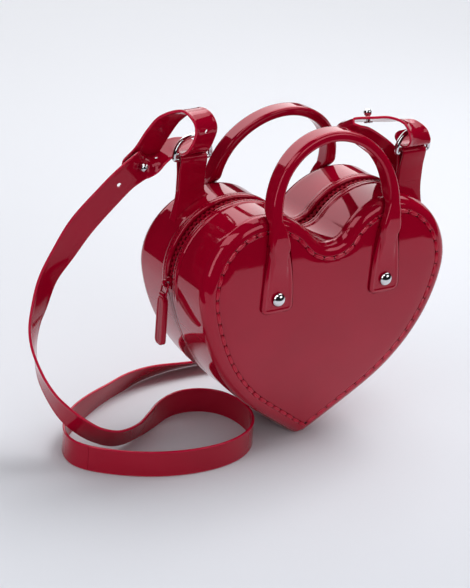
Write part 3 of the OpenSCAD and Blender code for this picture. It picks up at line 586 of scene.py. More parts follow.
# %% Sizes of the moulded body, in millimetres
HEART_W, HEART_H, BAG_D = 210, 186, 95
LOBE_R, HOLLOW_TOUCHING_R, SIDE_R, TIP_R, TIP_ANGLE = 51, 16, 150, 9, 105
TIP_FALL, TOP_FALL, FULL_Z = 18, 8, 114    # the face falls back below and above its fullest
WALL, RIM_R, GROOVE_IN, GROOVE_W, GROOVE_DEEP = 3, 8, 10, 3.6, 1.2
ZIP_GAP, JOINT_W, LIP_W, LIP_H = 7.2, 3, 6, 0.8
FINE_FROM_EDGE, FINE_CHANNEL, FINE_CHANNEL_W = 3.2, 0.5, 1.6
SEAT = 0.1                        # air between a piece and its seat

LOBE_MID = np.array([HEART_W / 2 - LOBE_R, HEART_H - LOBE_R])
LOBE_X, LOBE_Z = LOBE_MID
HOLLOW_R = HOLLOW_TOUCHING_R * (LOBE_X / LOBE_R) ** 2
HOLLOW_Z = LOBE_Z + math.sqrt((LOBE_R + HOLLOW_R) ** 2 - LOBE_X ** 2)
SWEEP = math.asin(LOBE_X / (LOBE_R + HOLLOW_R))
TIP_CUT = TIP_R / 18              # the small flat cuts this much off the tip's arc
TIP_Z = TIP_R - TIP_CUT
FLANK = math.radians(TIP_ANGLE / 2)
FLANK_OUT = np.array([math.cos(FLANK), -math.sin(FLANK)])
FLANK_UP = np.array([math.sin(FLANK), math.cos(FLANK)])
# the side arc touches the flank's line outside and holds the lobe's circle inside
FLANK_GAP = FLANK_OUT @ [LOBE_X, LOBE_Z - TIP_Z] - TIP_R + SIDE_R
SIDE_MID = (LOBE_MID - FLANK_GAP * FLANK_OUT
            - math.sqrt((SIDE_R - LOBE_R) ** 2 - FLANK_GAP ** 2) * FLANK_UP)
SIDE_A = math.atan2(LOBE_Z - SIDE_MID[1], LOBE_X - SIDE_MID[0])
FLAT_A = math.acos((TIP_R - TIP_CUT) / TIP_R)
print("hollow radius", round(HOLLOW_R, 2), "side curve from", round(math.degrees(SIDE_A), 2))

# %% The outline as a function of its inset
# steps of each arc of the right half, and the steps at which the level rows and the zip end
N_HOLLOW, N_LOBE, N_LOW, N_SIDE, N_FLANK, N_TIP = 14, 64, 14, 48, 6, 12
LEVEL = 2 * N_HOLLOW + N_LOBE
ZIP_STEPS = LEVEL + N_LOW
HALF_POINTS = ZIP_STEPS + N_SIDE + N_FLANK + N_TIP + 2


def half_outline(e):
    """Right half of the heart at an inset e, from the hollow's lowest point to below the tip."""
    steps = np.arange
    hollow = arc((0, HOLLOW_Z), HOLLOW_R + e,
                 SWEEP * steps(N_HOLLOW + 1) / N_HOLLOW - np.pi / 2)
    lobe_a = np.pi / 2 + SWEEP - 2 * SWEEP * steps(1, N_LOBE + 1) / N_LOBE
    # below the lobe's shoulder the levels repeat those of the hollow, so rows can be level
    rise = (hollow[-2::-1, 1] - LOBE_Z) / (LOBE_R - e)
    paired_a = np.arcsin(np.clip(rise, -1, 1))
    low_a = paired_a[-1] + (SIDE_A - paired_a[-1]) * steps(1, N_LOW + 1) / N_LOW
    lobe = arc(LOBE_MID, LOBE_R - e, np.concatenate([lobe_a, paired_a, low_a]))
    side = arc(SIDE_MID, SIDE_R - e, SIDE_A - (FLANK + SIDE_A) * steps(1, N_SIDE + 1) / N_SIDE)
    tip_r = max(TIP_R - e, TIP_R / 9)    # deep insets keep a tip of 1 mm
    tip = arc((0, TIP_Z + (TIP_R - e - tip_r) / FLANK_OUT[1]), tip_r,
              -FLANK - (np.pi / 2 - FLAT_A - FLANK) * steps(N_TIP + 1) / N_TIP)
    share = steps(1, N_FLANK)[:, None] / N_FLANK
    flank = side[-1] + (tip[0] - side[-1]) * share
    return np.concatenate([hollow, lobe, side, flank, tip, [[0, tip[-1, 1]]]])


def face_depth(z):
    """Distance of the face from the middle plane: it falls back above and below its fullest."""
    low = np.maximum(FULL_Z - z, 0) / FULL_Z
    high = np.maximum(z - FULL_Z, 0) / (HEART_H - FULL_Z)
    return BAG_D / 2 - TIP_FALL * low ** 2 - TOP_FALL * high ** 2


def at_depth(flat, y):
    """Points (x, z) of an outline as points of the bag at the depth y."""
    return np.stack([flat[:, 0], np.broadcast_to(y, len(flat)), flat[:, 1]], -1)


# 1 beside the zip, and 0 from a short way below its ends
ZIP_END_SHARE = 0.08
on_zip = 1 - ease((np.arange(HALF_POINTS) - ZIP_STEPS) / N_SIDE / ZIP_END_SHARE)
edge_depth = JOINT_W / 2 + (ZIP_GAP - JOINT_W) / 2 * on_zip
print("outline points on half the heart:", len(half_outline(0)), "of", HALF_POINTS)

# %% [markdown]
# ## The moulded halves
#
# The bag is two deep trays that meet at the zip. A tray is a stack of outlines, called stations
# here. Each says how far its outline is inset, how much of the zip's lip it carries, and its
# depth, counted either from the parting edge or from the face. The face itself is filled with
# level rows, so its broad reflections stay calm; a fan of triangles would pinch them. The last
# number of a station is its painted shade, which darkens grooves where little light reaches.

# %% Stations of a tray
ROLL = 2.0                        # depth of the soft roll at the lip's edge
SOFT = WALL / 5
SEAM_ROLL = 0.3                   # share of the roll that is left below the zip
# the groove's painted shade is more than 1, so that its whole floor is darkened and not only its
# middle
EDGE_SHADE, CHANNEL_SHADE, LIP_FOOT_SHADE, GROOVE_SHADE = 0.6, 0.7, 0.5, 2.5


def stations():
    """Rows of (inset, share of the lip, 1 from the face or 0 from the edge, depth, painted shade).
    """
    quarter = np.linspace(0, np.pi / 2, 7)
    inner = RIM_R - WALL
    rows = [[WALL + inner * (1 - np.cos(a)), 0, 1, -WALL - inner * (1 - np.sin(a)), 0]
            for a in quarter[::-1]]
    rows += [[WALL, 0, 0, 0, EDGE_SHADE]]
    rows += [[2 * SOFT * (1 - np.sin(a)), np.sin(a), 0, ROLL * (1 - np.cos(a)), 0]
             for a in quarter]
    # the fine stitches lie in a shallow channel along the top of the lip
    rows += [[0, 1 - FINE_CHANNEL * hump(t), 0, FINE_FROM_EDGE + FINE_CHANNEL_W * (t - 0.5),
              CHANNEL_SHADE * hump(t)] for t in np.linspace(0, 1, 7)]
    rows += [[0, 1 - ease(t), 0, LIP_W - SOFT + (LIP_H + SOFT) * t, LIP_FOOT_SHADE * (t > 0.9)]
             for t in np.linspace(0.15, 1, 6)]
    rows += [[0, 0, 0, LIP_W + LIP_H + SOFT, 0], [0, 0, 1, -RIM_R - SOFT, 0]]
    rows += [[RIM_R * (1 - np.cos(a)), 0, 1, -RIM_R * (1 - np.sin(a)), 0]
             for a in np.linspace(0, np.pi / 2, 15)]
    rows += [[GROOVE_IN + GROOVE_W * (t - 0.5), 0, 1, -GROOVE_DEEP * hump(t),
              min(1, GROOVE_SHADE * hump(t))] for t in np.linspace(0, 1, 15)]
    return np.array(rows, float)


STATIONS = stations()
print("stations:", len(STATIONS))


# %% Skins of the two trays
def station_ring(inset, lip, from_face, depth):
    """Points of one station on the right half of the front tray."""
    flat = half_outline(inset)
    if not from_face and inset < WALL:
        # below the zip the parting edge is nearly sharp, so the seam is one thin line
        rest, full = half_outline(0), SEAM_ROLL + (1 - SEAM_ROLL) * on_zip
        flat = rest + (flat - rest) * full[:, None]
        depth = depth * full if depth <= ROLL else depth
    # the lip lifts each point straight away from the outline
    lifted = half_outline(inset - LIP_H * lip) if lip else flat
    flat = flat + (lifted - flat) * on_zip[:, None]
    return at_depth(flat, -(depth + (face_depth(flat[:, 1]) if from_face else edge_depth)))


FACE_COLUMNS = 10


def face_rows(ring):
    """Level rows that fill one ring: across each lobe above, and from the middle below."""
    top = N_HOLLOW + N_LOBE // 2
    starts = np.concatenate([ring[top:0:-1], ring[LEVEL:] * [0, 1, 1]])
    ends = np.concatenate([ring[top:LEVEL], ring[LEVEL:]])
    share = np.linspace(0, 1, FACE_COLUMNS + 1)[:, None]
    return starts[:, None] + (ends - starts)[:, None] * share


rings = np.stack([station_ring(*row[:4]) for row in STATIONS])
half_tray = [rings, face_rows(rings[0]), face_rows(rings[-1])]
# no painted shade on the filled faces, nor on the edge below the zip
wall_shade = STATIONS[:, 4:] * np.maximum(STATIONS[:, 2:3], on_zip)
half_shade = [wall_shade] + [np.zeros(grid.shape[:2]) for grid in half_tray[1:]]
twins(FRONT_BACK, "*_skin", half_tray + [grid * MIRROR for grid in half_tray], body_red,
      "*_shell", creases=half_shade * 2)

# %% [markdown]
# ## Zip tapes and the strip below the zip
#
# A section given as insets and depths can travel along the outline too. The tapes run under the
# lips from one end of the zip to the other, and the joining strip closes the rest of the parting
# line round the tip. Cloth needs its weave to follow the tape, so the tapes get a uv map in
# metres, and the threads are then the same size all the way along.

# %% Sections that travel along the heart's outline
def along_outline(section, first, last, widths=1.0):
    """Grid of a section of (inset, depth) points carried from step first to step last.

    widths is the factor of the depths, for the whole outline or for each of its steps.
    """
    widths = np.broadcast_to(widths, HALF_POINTS)[first:last]
    return closed_rings(np.stack([at_depth(half_outline(inset)[first:last], depth * widths)
                                  for inset, depth in section], 1))


def whole_run(half, from_middle=True):
    """A right-half grid that starts or ends in the middle, joined with its mirror image."""
    other = (half * MIRROR)[::-1]
    return np.concatenate([other, half[1:]] if from_middle else [half, other[1:]])


TAPE_W, TAPE_T, CHAIN_HALF = 11, 0.8, 2.2
tape_out, tape_in = ZIP_GAP / 2 + TAPE_W - CHAIN_HALF, 2 * SEAT
tape_section = rounded_box(TAPE_T / 2, (tape_out - tape_in) / 2, TAPE_T * 0.4, steps=2)
tape_section = tape_section + [WALL + SEAT + TAPE_T / 2, -(tape_out + tape_in) / 2]
tape = whole_run(along_outline(tape_section, 0, ZIP_STEPS + 1))
tape_run = lengths_along(tape[:, 0])
twins(FRONT_BACK, "*_tape", [capped(tape)], tape_cloth, "*_zip_tape", slot="zip",
      uvs=[run_uv(tape_run, tape[..., 1] * MM)])

strip_section = rounded_box(WALL / 2, 1, WALL / 24, steps=3) + [WALL / 2, 0]
strip = along_outline(strip_section, ZIP_STEPS, HALF_POINTS, edge_depth - SEAT / 2)
strip = capped(whole_run(strip, from_middle=False))
place_piece("tip_strip", sewn("tip_strip", [strip]), small_red, ["joining_strip"])
print("each tape is", round(tape_run[-1]), "mm long")

# %% [markdown]
# ## Moulded stitching
#
# The bag isn't sewn. Its mould carries a copy of chain stitching in the groove round each face,
# and two rows of fine stitches on the lips beside the zip. A stitch is a short rod, and two rods
# that bow apart make one link of the chain. All copies of a rod are computed at once: the rod's
# points times one small matrix for each place.

# %% Rods in a row
def even_places(line, pitch):
    """Points about a pitch apart along a closed line, and the way to go on from each."""
    line = looped(line)
    distances = even_distances(line, pitch)
    place = points_at(line, distances)
    return place, unit(points_at(line, distances + 0.5) - place)


def rods(places, ways_on, outward, rod_path, radius, sides=6):
    """A copy of one rod at each place. Its path is in shares along, across and outward."""
    side = squared(np.cross(outward, ways_on), ways_on)
    axes = np.stack([ways_on, side, np.cross(ways_on, side)], 1)
    rod = carried(rod_path, Y_WAY, circle(1, sides)[None] * radius[:, None, None])
    points = places[:, None] + rod.reshape(-1, 3) @ axes
    return points.reshape((len(places),) + rod.shape)


def rod_lengthwise(length, bow, height, steps=9, ends=8):
    """Path of a rod along its own X axis that bows sideways, and its radius shares.

    The radius is the root of 1 - t^ends: 8 gives a blunt rod and 2 a pointed one.
    """
    t = np.linspace(-1, 1, steps)
    path = np.stack([length / 2 * np.sin(t * np.pi / 2), bow * (1 - t ** 2),
                     height * (1 - t ** 2)], -1)
    return path, np.sqrt(np.maximum(1 - t ** ends, 0.0))


print("radius shares of a pointed rod:", rod_lengthwise(1, 0, 0, steps=5, ends=2)[1].round(2))

# %% Chain stitches in the groove
CHAIN_PITCH, CHAIN_LINK, CHAIN_ROD_R, CHAIN_BOW, CHAIN_RISE = 9.3, 9.2, 0.85, 0.6, 0.35
CHAIN_DOWN = GROOVE_DEEP * 0.45   # how deep the links lie in the groove
groove = half_outline(GROOVE_IN)[1:-1]
groove = at_depth(groove, -face_depth(groove[:, 1]) + CHAIN_DOWN)
chain_at, chain_way = even_places(np.concatenate([groove, (groove * MIRROR)[::-1]]),
                                  CHAIN_PITCH)
chain = []
for bow in (CHAIN_BOW, -CHAIN_BOW):
    link_path, thick = rod_lengthwise(CHAIN_LINK, bow, CHAIN_RISE, ends=2)
    chain += list(rods(chain_at, chain_way, -Y_WAY, link_path, CHAIN_ROD_R * thick))
# the two ends of a link sink under its neighbours, and painted shade darkens them there
tip_shade = 0.8 * np.abs(np.linspace(-1, 1, len(thick))) ** 3
twins(FRONT_BACK, "*_chain_stitch", chain, stitch_red,
      creases=[np.broadcast_to(tip_shade[:, None], rod.shape[:2]) for rod in chain])
print("chain links on each face:", len(chain_at))

# %% Fine stitches on the lips
FINE_PITCH, FINE_STITCH, FINE_ROD_R, FINE_RISE = 2.6, 1.7, 0.42, 0.12
lip_top = half_outline(-LIP_H * (1 - FINE_CHANNEL))[:ZIP_STEPS - 2]
lip_line = whole_run(at_depth(lip_top, -ZIP_GAP / 2 - FINE_FROM_EDGE))
fine_at = points_at(lip_line, even_distances(lip_line, FINE_PITCH))
fine_way = ways(fine_at)
fine_path, thick = rod_lengthwise(FINE_STITCH, 0, FINE_RISE, steps=5)
twins(FRONT_BACK, "*_fine_stitch",
      list(rods(fine_at, fine_way, np.cross(fine_way, Y_WAY), fine_path, FINE_ROD_R * thick)),
      fine_stitch_red)
print("fine stitches on each lip:", len(fine_at))

# %% [markdown]
# ## The handles
#
# Each handle is one moulding. Its two legs lie flat on the face, where a raised ridge grows out
# of each, and above the rim they close into a rounded band that arches over the bag and leans
# towards the other handle. One profile does all of this: a rounded box whose outer side is
# lifted in the middle. So there is no join between leg and arch that a highlight could show.

# %% Handle sizes
ARCH_R, ARCH_UP, ARCH_T, ARCH_D = 55, 54, 7.5, 14
LEG_W, LEG_T, LEG_FOOT, ARCH_LEAN = 26, 3, 10.5, math.radians(13)
RIVET_DOWN, RIVET_X, CAP_R, CAP_H = 58, 46.5, 5, 3.2
RIDGE_SHARE, FLANGE_T, LEG_BORDER, LEG_BORDER_W, LEG_EDGE = 0.6, 2.1, 0.4, 1.9, 1.4
RIVET_Z, RIM_TOP_Z, ARCH_MID_Z = HEART_H - RIVET_DOWN, HEART_H - RIM_R, HEART_H + ARCH_UP - ARCH_R
LEG_LOW, LEG_CORNER, LEG_OUT_X = RIVET_Z - LEG_FOOT, LEG_W * 0.2, RIVET_X + LEG_W / 2
SWELL_Z = RIVET_Z + 2 * CAP_R     # the leg starts to swell into the arch here
MERGED_Z = RIM_TOP_Z + 4          # and its ridge and flange are one form from here
NECK_D, NECK_X_W = ARCH_D * 0.58, ARCH_T * 1.25


def leg_width(z):
    """Full width of a leg at a height, without its rounded foot."""
    rise = np.clip((z - LEG_LOW) / (ARCH_MID_Z - LEG_LOW), 0, 1)
    return LEG_W + (NECK_X_W - LEG_W) * rise ** 1.8


def leg_thickness(z):
    """Depth of a leg on the face, and of the arch above the rim."""
    on_face = LEG_T + (NECK_D - LEG_T) * ease((z - SWELL_Z) / (RIM_TOP_Z - SWELL_Z))
    above = NECK_D + (ARCH_D - NECK_D) * ease((z - RIM_TOP_Z - RIM_R * 0.3) / (RIM_R * 1.2))
    return np.where(z <= RIM_TOP_Z, on_face, above)


def leg_side(z):
    """Distance of the middle of a leg from the bag's middle."""
    inwards = (LEG_OUT_X - ARCH_R) * ease((z - LEG_LOW) / (ARCH_MID_Z - LEG_LOW))
    return LEG_OUT_X - leg_width(z) / 2 - inwards


def outer_depth(z):
    """Distance of a handle's outer side from the middle plane."""
    leaning = (face_depth(RIM_TOP_Z) + SEAT + NECK_D
               - (z - RIM_TOP_Z) * math.tan(ARCH_LEAN))
    return np.where(z <= RIM_TOP_Z, face_depth(z) + SEAT + leg_thickness(z), leaning)


print("leg", round(float(leg_width(RIVET_Z)), 1), "mm wide at its rivet")


# %% Sections of a handle
def leg_sections():
    """Middle, across direction, half width and half depth of each section of the right leg."""
    foot = LEG_LOW + LEG_CORNER * (1 - np.cos(np.linspace(0, np.pi / 2, 17)))
    z = np.concatenate([foot, np.linspace(foot[-1], RIM_TOP_Z, 41)[1:],
                        np.linspace(RIM_TOP_Z, ARCH_MID_Z, 9)[1:]])
    half_w = cornered(leg_width(z) / 2, LEG_CORNER, np.maximum(LEG_LOW + LEG_CORNER - z, 0))
    deep = leg_thickness(z)
    middle = np.stack([leg_side(z), deep / 2 - outer_depth(z), z], -1)
    return middle, np.broadcast_to(X_WAY, middle.shape), half_w, deep / 2


def arch_sections():
    """The same four for the right half of the arch, a circle that leans to the middle plane."""
    a = np.linspace(0, np.pi / 2, 33)[1:]
    thick = NECK_X_W + (ARCH_T - NECK_X_W) * ease(np.degrees(a) / 40)
    r = ARCH_R - thick / 2
    z = ARCH_MID_Z + r * np.sin(a)
    deep = leg_thickness(z)
    middle = np.stack([r * np.cos(a), deep / 2 - outer_depth(z), z], -1)
    across = np.stack([np.cos(a), math.tan(ARCH_LEAN) * np.sin(a), np.sin(a)], -1)
    return middle, across, thick / 2, deep / 2


middle, across, half_w, half_d = (np.concatenate(both)
                                  for both in zip(leg_sections(), arch_sections()))
print("sections of half a handle:", len(middle))

# %% Front and back handle
RIDGE_ALL, RIDGE_FROM_Z, RIDGE_OVER, RIDGE_SOFT = 1.25, RIM_TOP_Z - 22, 20, 0.12


def handle_rings(z, half_w, half_d):
    """Ring of points of each section, in its own x and y. The outer side is the one with y < 0."""
    arched = ease((z - SWELL_Z) / (MERGED_Z - SWELL_Z))
    least = np.minimum(half_w, half_d)
    corner = LEG_EDGE + (least * 0.75 - LEG_EDGE) * arched ** 2
    ring = rounded_box(half_w, half_d, np.minimum(corner, least * 0.98), steps=6, flats=31)
    # beside the ridge the outer side drops back to the flange's own thickness
    spread = np.abs(ring[..., 0]) / half_w[:, None]
    ridge = RIDGE_SHARE + (RIDGE_ALL - RIDGE_SHARE) * ease((z - RIDGE_FROM_Z) / RIDGE_OVER)
    drop = ease((spread - ridge[:, None] + RIDGE_SOFT) / (2 * RIDGE_SOFT))
    drop = (2 * half_d - LEG_T)[:, None] * drop * (z < MERGED_Z)[:, None]
    # distance inwards from the leg's outline, whose two lower corners are arcs
    from_side = leg_width(z)[:, None] / 2 - np.abs(ring[..., 0])
    from_low = (z - LEG_LOW)[:, None]
    inwards = LEG_CORNER - np.hypot(np.maximum(LEG_CORNER - from_side, 0),
                                    np.maximum(LEG_CORNER - from_low, 0))
    border = LEG_BORDER * hump(np.clip((inwards - LEG_EDGE) / LEG_BORDER_W, 0, 1))
    round_off = LEG_EDGE * (1 - np.sqrt(1 - np.clip(1 - from_low / LEG_EDGE, 0, 1) ** 2))
    border = (border - (LEG_T - FLANGE_T)) * (1 - arched)[:, None] - round_off
    ring[..., 1] += np.where(ring[..., 1] < 0, drop - border, 0)
    return ring


ring = handle_rings(middle[:, 2], half_w, half_d)
half_handle = closed_rings(middle[:, None] + across[:, None] * ring[..., :1]
                           + Y_WAY * ring[..., 1:])
handle = capped(whole_run(half_handle, from_middle=False))
twins(FRONT_BACK, "*_handle_skin", [handle], handle_red, "*_handle")

# %% [markdown]
# ## Rivets, rings and their tabs
#
# Four domed rivets hold the handles. Each D-ring's bar lies in the fold of a strip that is
# doubled over it, closed below the bar and flared into a foot on the lobe. A turned part such as
# a rivet is a profile spun about an axis, as Blender's Screw modifier does it.

# %% Rivet caps
CAP_FOOT, CAP_FOOT_IN, DOME_SHARE = 0.06, 0.2, 0.97
dome_r = (CAP_R ** 2 + CAP_H ** 2) / (2 * CAP_H)
cap_y = face_depth(RIVET_Z - CAP_R) + LEG_T + 2 * SEAT
from_axis = CAP_R * np.sin(np.linspace(0, np.pi / 2, 14))
dome_h = CAP_H - dome_r + np.sqrt(dome_r ** 2 - (from_axis * DOME_SHARE) ** 2)
cap_profile = np.concatenate([np.stack([from_axis, dome_h], -1),
                              [[CAP_R, CAP_FOOT], [CAP_R - CAP_FOOT_IN, 0], [0, 0]]])
caps = [stood(spun(cap_profile), (x, -cap_y, RIVET_Z), -Y_WAY) for x in (-RIVET_X, RIVET_X)]
twins(FRONT_BACK, "*_caps", caps, chrome, "*_rivet_caps", slot="metal")

# %% Ring tabs
RING_OUT, RING_Y, RING_UP, RING_IN, RING_WIRE_R = 26, 21.5, 26, 25, 1.7
NECK_W, NECK_T, FOOT_W, WIRE_PLAY = 21, 5, 27, 0.15
RING_X, RING_Z = LOBE_X + RING_OUT, HEART_H + RING_UP
FLARE_Z, PAD_DEPTH = HEART_H + 2 * RING_WIRE_R, NECK_T * 1.5
FOLD_IN, FOLD_T = RING_WIRE_R + WIRE_PLAY, NECK_T * 0.4


def lobe_top(x):
    """Height of the lobe's own surface above a place."""
    return LOBE_Z + np.sqrt(LOBE_R ** 2 - (x - LOBE_X) ** 2)


def fold_grid():
    """The doubled strip: up the front, round the ring's bar and down the back."""
    fold_r = FOLD_IN + FOLD_T / 2
    # the two layers lie close together below, and part to go round the bar
    up = np.linspace(0, 1, 15)
    bulge = NECK_T / 4 + (fold_r - NECK_T / 4) * ease((up - 0.45) / 0.55)
    line = hairpin(np.stack([-bulge, (RING_Z - FLARE_Z) * (up - 1)], -1), fold_r, 17)
    path = np.stack([np.full(len(line), RING_X), line[:, 0] - RING_Y, line[:, 1] + RING_Z], -1)
    # from 12 mm below the bar to 2 mm below it a layer thins to the fold's own thickness
    layer = NECK_T / 2 - 2 * SEAT
    thick = layer + (FOLD_T - layer) * ease((line[:, 1] + 12) / 10)
    return capped(carried(path, X_WAY, rounded_box(NECK_W / 2, thick / 2, 0.7, steps=3)))


def foot_grid():
    """The foot: from the neck's oblong it flares until it lies on the lobe."""
    v = np.linspace(0, 1, 19)
    half_w = NECK_W / 2 + (FOOT_W - NECK_W) / 2 * v ** 1.8
    half_t = NECK_T / 2 + (PAD_DEPTH - NECK_T) / 2 * v ** 3
    ring = rounded_box(half_w, half_t, 0.9, steps=3, flats=7)
    x = RING_X + ring[..., 0]
    z = FLARE_Z + (lobe_top(x) + SEAT - FLARE_Z) * v[:, None]
    wall = np.stack([x, ring[..., 1] - RING_Y, z], -1)
    top = np.broadcast_to(wall[:1].mean(1, keepdims=True), wall[:1].shape)
    middle = np.array([RING_X, -RING_Y])
    base = middle + np.linspace(0.8, 0, 5)[:, None, None] * (wall[-1][..., :2] - middle)
    base = np.concatenate([base, lobe_top(base[..., :1]) + SEAT], -1)
    return closed_rings(np.concatenate([top, wall, base]))


twins(RIGHT_LEFT, "*_tab", [fold_grid(), foot_grid()], tab_red, "*_ring_tab")

# %% D-rings
BOW_DEEPER = 0.22                 # share by which the bow's wire is deeper than the bar's
bow_rise, bar_half = RING_IN * 0.66, RING_IN / 2 + RING_WIRE_R
bow_r = (bar_half ** 2 + bow_rise ** 2) / (2 * bow_rise)
from_a = math.asin((bow_r - bow_rise) / bow_r)
bow_arc = arc((0, bow_rise - bow_r), bow_r, np.linspace(from_a, np.pi - from_a, 60))
ring_line = softened(evened(at_depth(bow_arc + [RING_X, RING_Z], -RING_Y), 128), 6)
# the wire grows deeper from 1 mm to 6 mm above the bar, where the tab doesn't hold it
deeper = 1 + BOW_DEEPER * ease((ring_line[:, 2] - RING_Z - 1) / 5)
ring_wire = circle(RING_WIRE_R, 14) * np.stack([deeper, np.ones(len(deeper))], -1)[:, None]
twins(RIGHT_LEFT, "*_d_ring", [carried(ring_line, Y_WAY, ring_wire, closed=True)], chrome,
      "*_ring", body="*_ring_body", slot="metal")

# %% [markdown]
# ## The puller
#
# The slider sits at the left end of the zip. A staple on it holds a wire link, and the long
# pull tab hangs from the link. Each of the three rides on a body of its own, so that the slider
# can run and the tab can swing. The real tab carries a printed mark: here its panel is bare.

# %% Staple and link
SLIDER_UP, LINK_WIRE_R, LINK_L, LINK_W, LINK_LEAN = 5.3, 0.7, 9, 7.4, math.radians(12)
PLATE_TOP = -LOBE_R / 60 + 1.6    # above the lobe's circle, like all heights on the slider
slider_a = math.pi - SIDE_A - SLIDER_UP / LOBE_R
slider_w = ZIP_GAP - 10 * SEAT
eye_r, staple_r, staple_w = LINK_WIRE_R * 1.8, LINK_WIRE_R * 4.2, slider_w * 0.36
eye_h = PLATE_TOP + SEAT + eye_r * 1.7
slider_out = np.array([math.cos(slider_a), 0, math.sin(slider_a)])
slider_on = np.array([-math.sin(slider_a), 0, math.cos(slider_a)])
eye = np.array([-LOBE_X, 0, LOBE_Z]) + slider_out * (LOBE_R + eye_h)
link_foot = eye - LINK_L * np.array([math.sin(LINK_LEAN), 0, math.cos(LINK_LEAN)])

staple_mid = (eye_r + staple_r) / 2
leg = np.linspace([-staple_mid, PLATE_TOP + SEAT - eye_h], [-staple_mid, 0], 5)
staple_line = hairpin(leg, staple_mid, 21)
staple = carried(eye + staple_line[:, :1] * slider_on + staple_line[:, 1:] * slider_out, Y_WAY,
                 rounded_box(staple_w / 2, (staple_r - eye_r) / 2, 0.4, steps=3))
place_piece("slider_staple", sewn("slider_staple", [capped(staple)]), small_red,
            ["slider_bridge"], "slider_body")

corners = np.stack([eye, eye, link_foot, link_foot])
corners = corners + np.array([[0, -1, 0], [0, 1, 0], [0, 1, 0], [0, -1, 0]]) * LINK_W / 2
link = carried(softened(evened(corners, 96), 3), slider_out, circle(LINK_WIRE_R, 10),
               closed=True)
place_piece("wire_link", sewn("wire_link", [link]), small_red, ["pull_link"], "link_body")

# %% Pull tab
PULL_L, PULL_W, PULL_T = 38, 10, 4
PANEL_IN, PANEL_DEEP, PANEL_EDGE, PANEL_ROW = 1.5, 0.45, 0.35, 3.2
SHOULDER_L, SHOULDER_SHARE = 8, 0.12
BARREL_R, TONGUE_DROP = PULL_T / 2, LINK_WIRE_R + 4 * SEAT


def tongue_ring(e, x):
    """Outline of the tongue at an inset e, at a distance x from its middle plane."""
    half_l = (PULL_L - TONGUE_DROP) / 2
    ring = rounded_box(PULL_W / 2 - e, half_l - e, max(PULL_W * 0.36 - e, 0.5), steps=10,
                       flats=5)
    # the shoulders beside the barrel draw in a little
    drawn_in = 1 - SHOULDER_SHARE * ease((ring[:, 1] - half_l + SHOULDER_L) / SHOULDER_L)
    return np.stack([np.full(len(ring), x), ring[:, 0] * drawn_in,
                     ring[:, 1] - (PULL_L + TONGUE_DROP) / 2], -1)


def tongue_grid():
    """From the middle of one face, over its sunk panel and round edge, to the other face."""
    face, sunk, round_r = PULL_T / 2, PULL_T / 2 - PANEL_DEEP, PULL_T * 0.22
    rows = [(PANEL_IN + PANEL_ROW, sunk), (PANEL_IN + 2 * PANEL_EDGE, sunk),
            (PANEL_IN + 1.5 * PANEL_EDGE, sunk), (PANEL_IN + PANEL_EDGE / 2, face),
            (PANEL_IN, face)]
    rows += [(round_r * (1 - np.sin(q)), face - round_r * (1 - np.cos(q)))
             for q in np.linspace(0, np.pi / 2, 6)]
    rings = [tongue_ring(e, x) for e, x in rows] + [tongue_ring(e, -x) for e, x in rows[::-1]]
    return capped(closed_rings(np.stack(rings)))


bore_r = LINK_WIRE_R + WIRE_PLAY
tube_half, barrel_half = (BARREL_R - bore_r) / 2, (LINK_W - 2 * LINK_WIRE_R - 6 * SEAT) / 2
tube_wall = rounded_box(tube_half, barrel_half, tube_half * 0.5, steps=3) + [bore_r + tube_half, 0]
barrel = spun(looped(tube_wall), 24)
neck_z = np.linspace(-BARREL_R * 0.85, -TONGUE_DROP - 3, 6)[:, None]
neck = carried(neck_z * [0, 0, 1], Y_WAY, rounded_box(barrel_half, BARREL_R * 0.8, 0.5))
tab_parts = [tongue_grid() + link_foot, stood(barrel, link_foot, Y_WAY),
             capped(neck) + link_foot]
place_piece("tab_moulding", sewn("tab_moulding", tab_parts), small_red, ["pull_tab"],
            "tab_body")

# %% [markdown]
# ## The strap
#
# The strap is one long flat moulding. Its course is a list of places chosen to follow
# the photograph: each row gives a place, as shares of the heart's size, and the direction across
# the strap there. A smooth curve joins the places. A cloth simulation would also give a strap
# that hangs well, but its loop wouldn't fall as the photograph's does. The edges are thicker
# than the middle, which is why they catch a bright line.
# A painted highlight in their colour lightens the edges as well.

# %% The strap's course
STRAP_W, STRAP_T, HOLE_R, BALL_R = 20, 2, 1.6, 3
LEFT_END = np.array([
    [-0.194, 0.088, -0.055, 0.77, 0.05, -0.63], [-0.138, 0.079, 0.004, 0.77, 0.1, -0.6],
    [-0.105, 0.05, 0.085, 0.8, 0.15, -0.5], [-0.086, 0.012, 0.143, 0.88, 0.25, -0.35],
    [-0.055, -0.052, 0.188, 0.95, 0.3, -0.1], [-0.034, -0.096, 0.174, 0.96, 0.28, 0],
    [-0.022, -0.108, 0.13, 0.97, 0.2, 0], [-0.021, -0.083, 0.074, 0.98, 0.18, 0],
    [-0.017, -0.045, 0.038, 0.99, 0.12, 0], [-0.005, 0, 0.024, 0.93, 0.37, 0],
    [-0.014, 0.04, 0.034, 0.7, 0.65, 0.15], [-0.048, 0.067, 0.018, 0.1, 0.95, 0.2],
    [-0.107, 0.053, -0.005, -0.15, 0.95, 0.15], [-0.15, 0.041, -0.015, -0.5, 0.36, 0.65],
    [-0.176, 0.034, -0.021, -0.6, 0.12, 0.76],
])
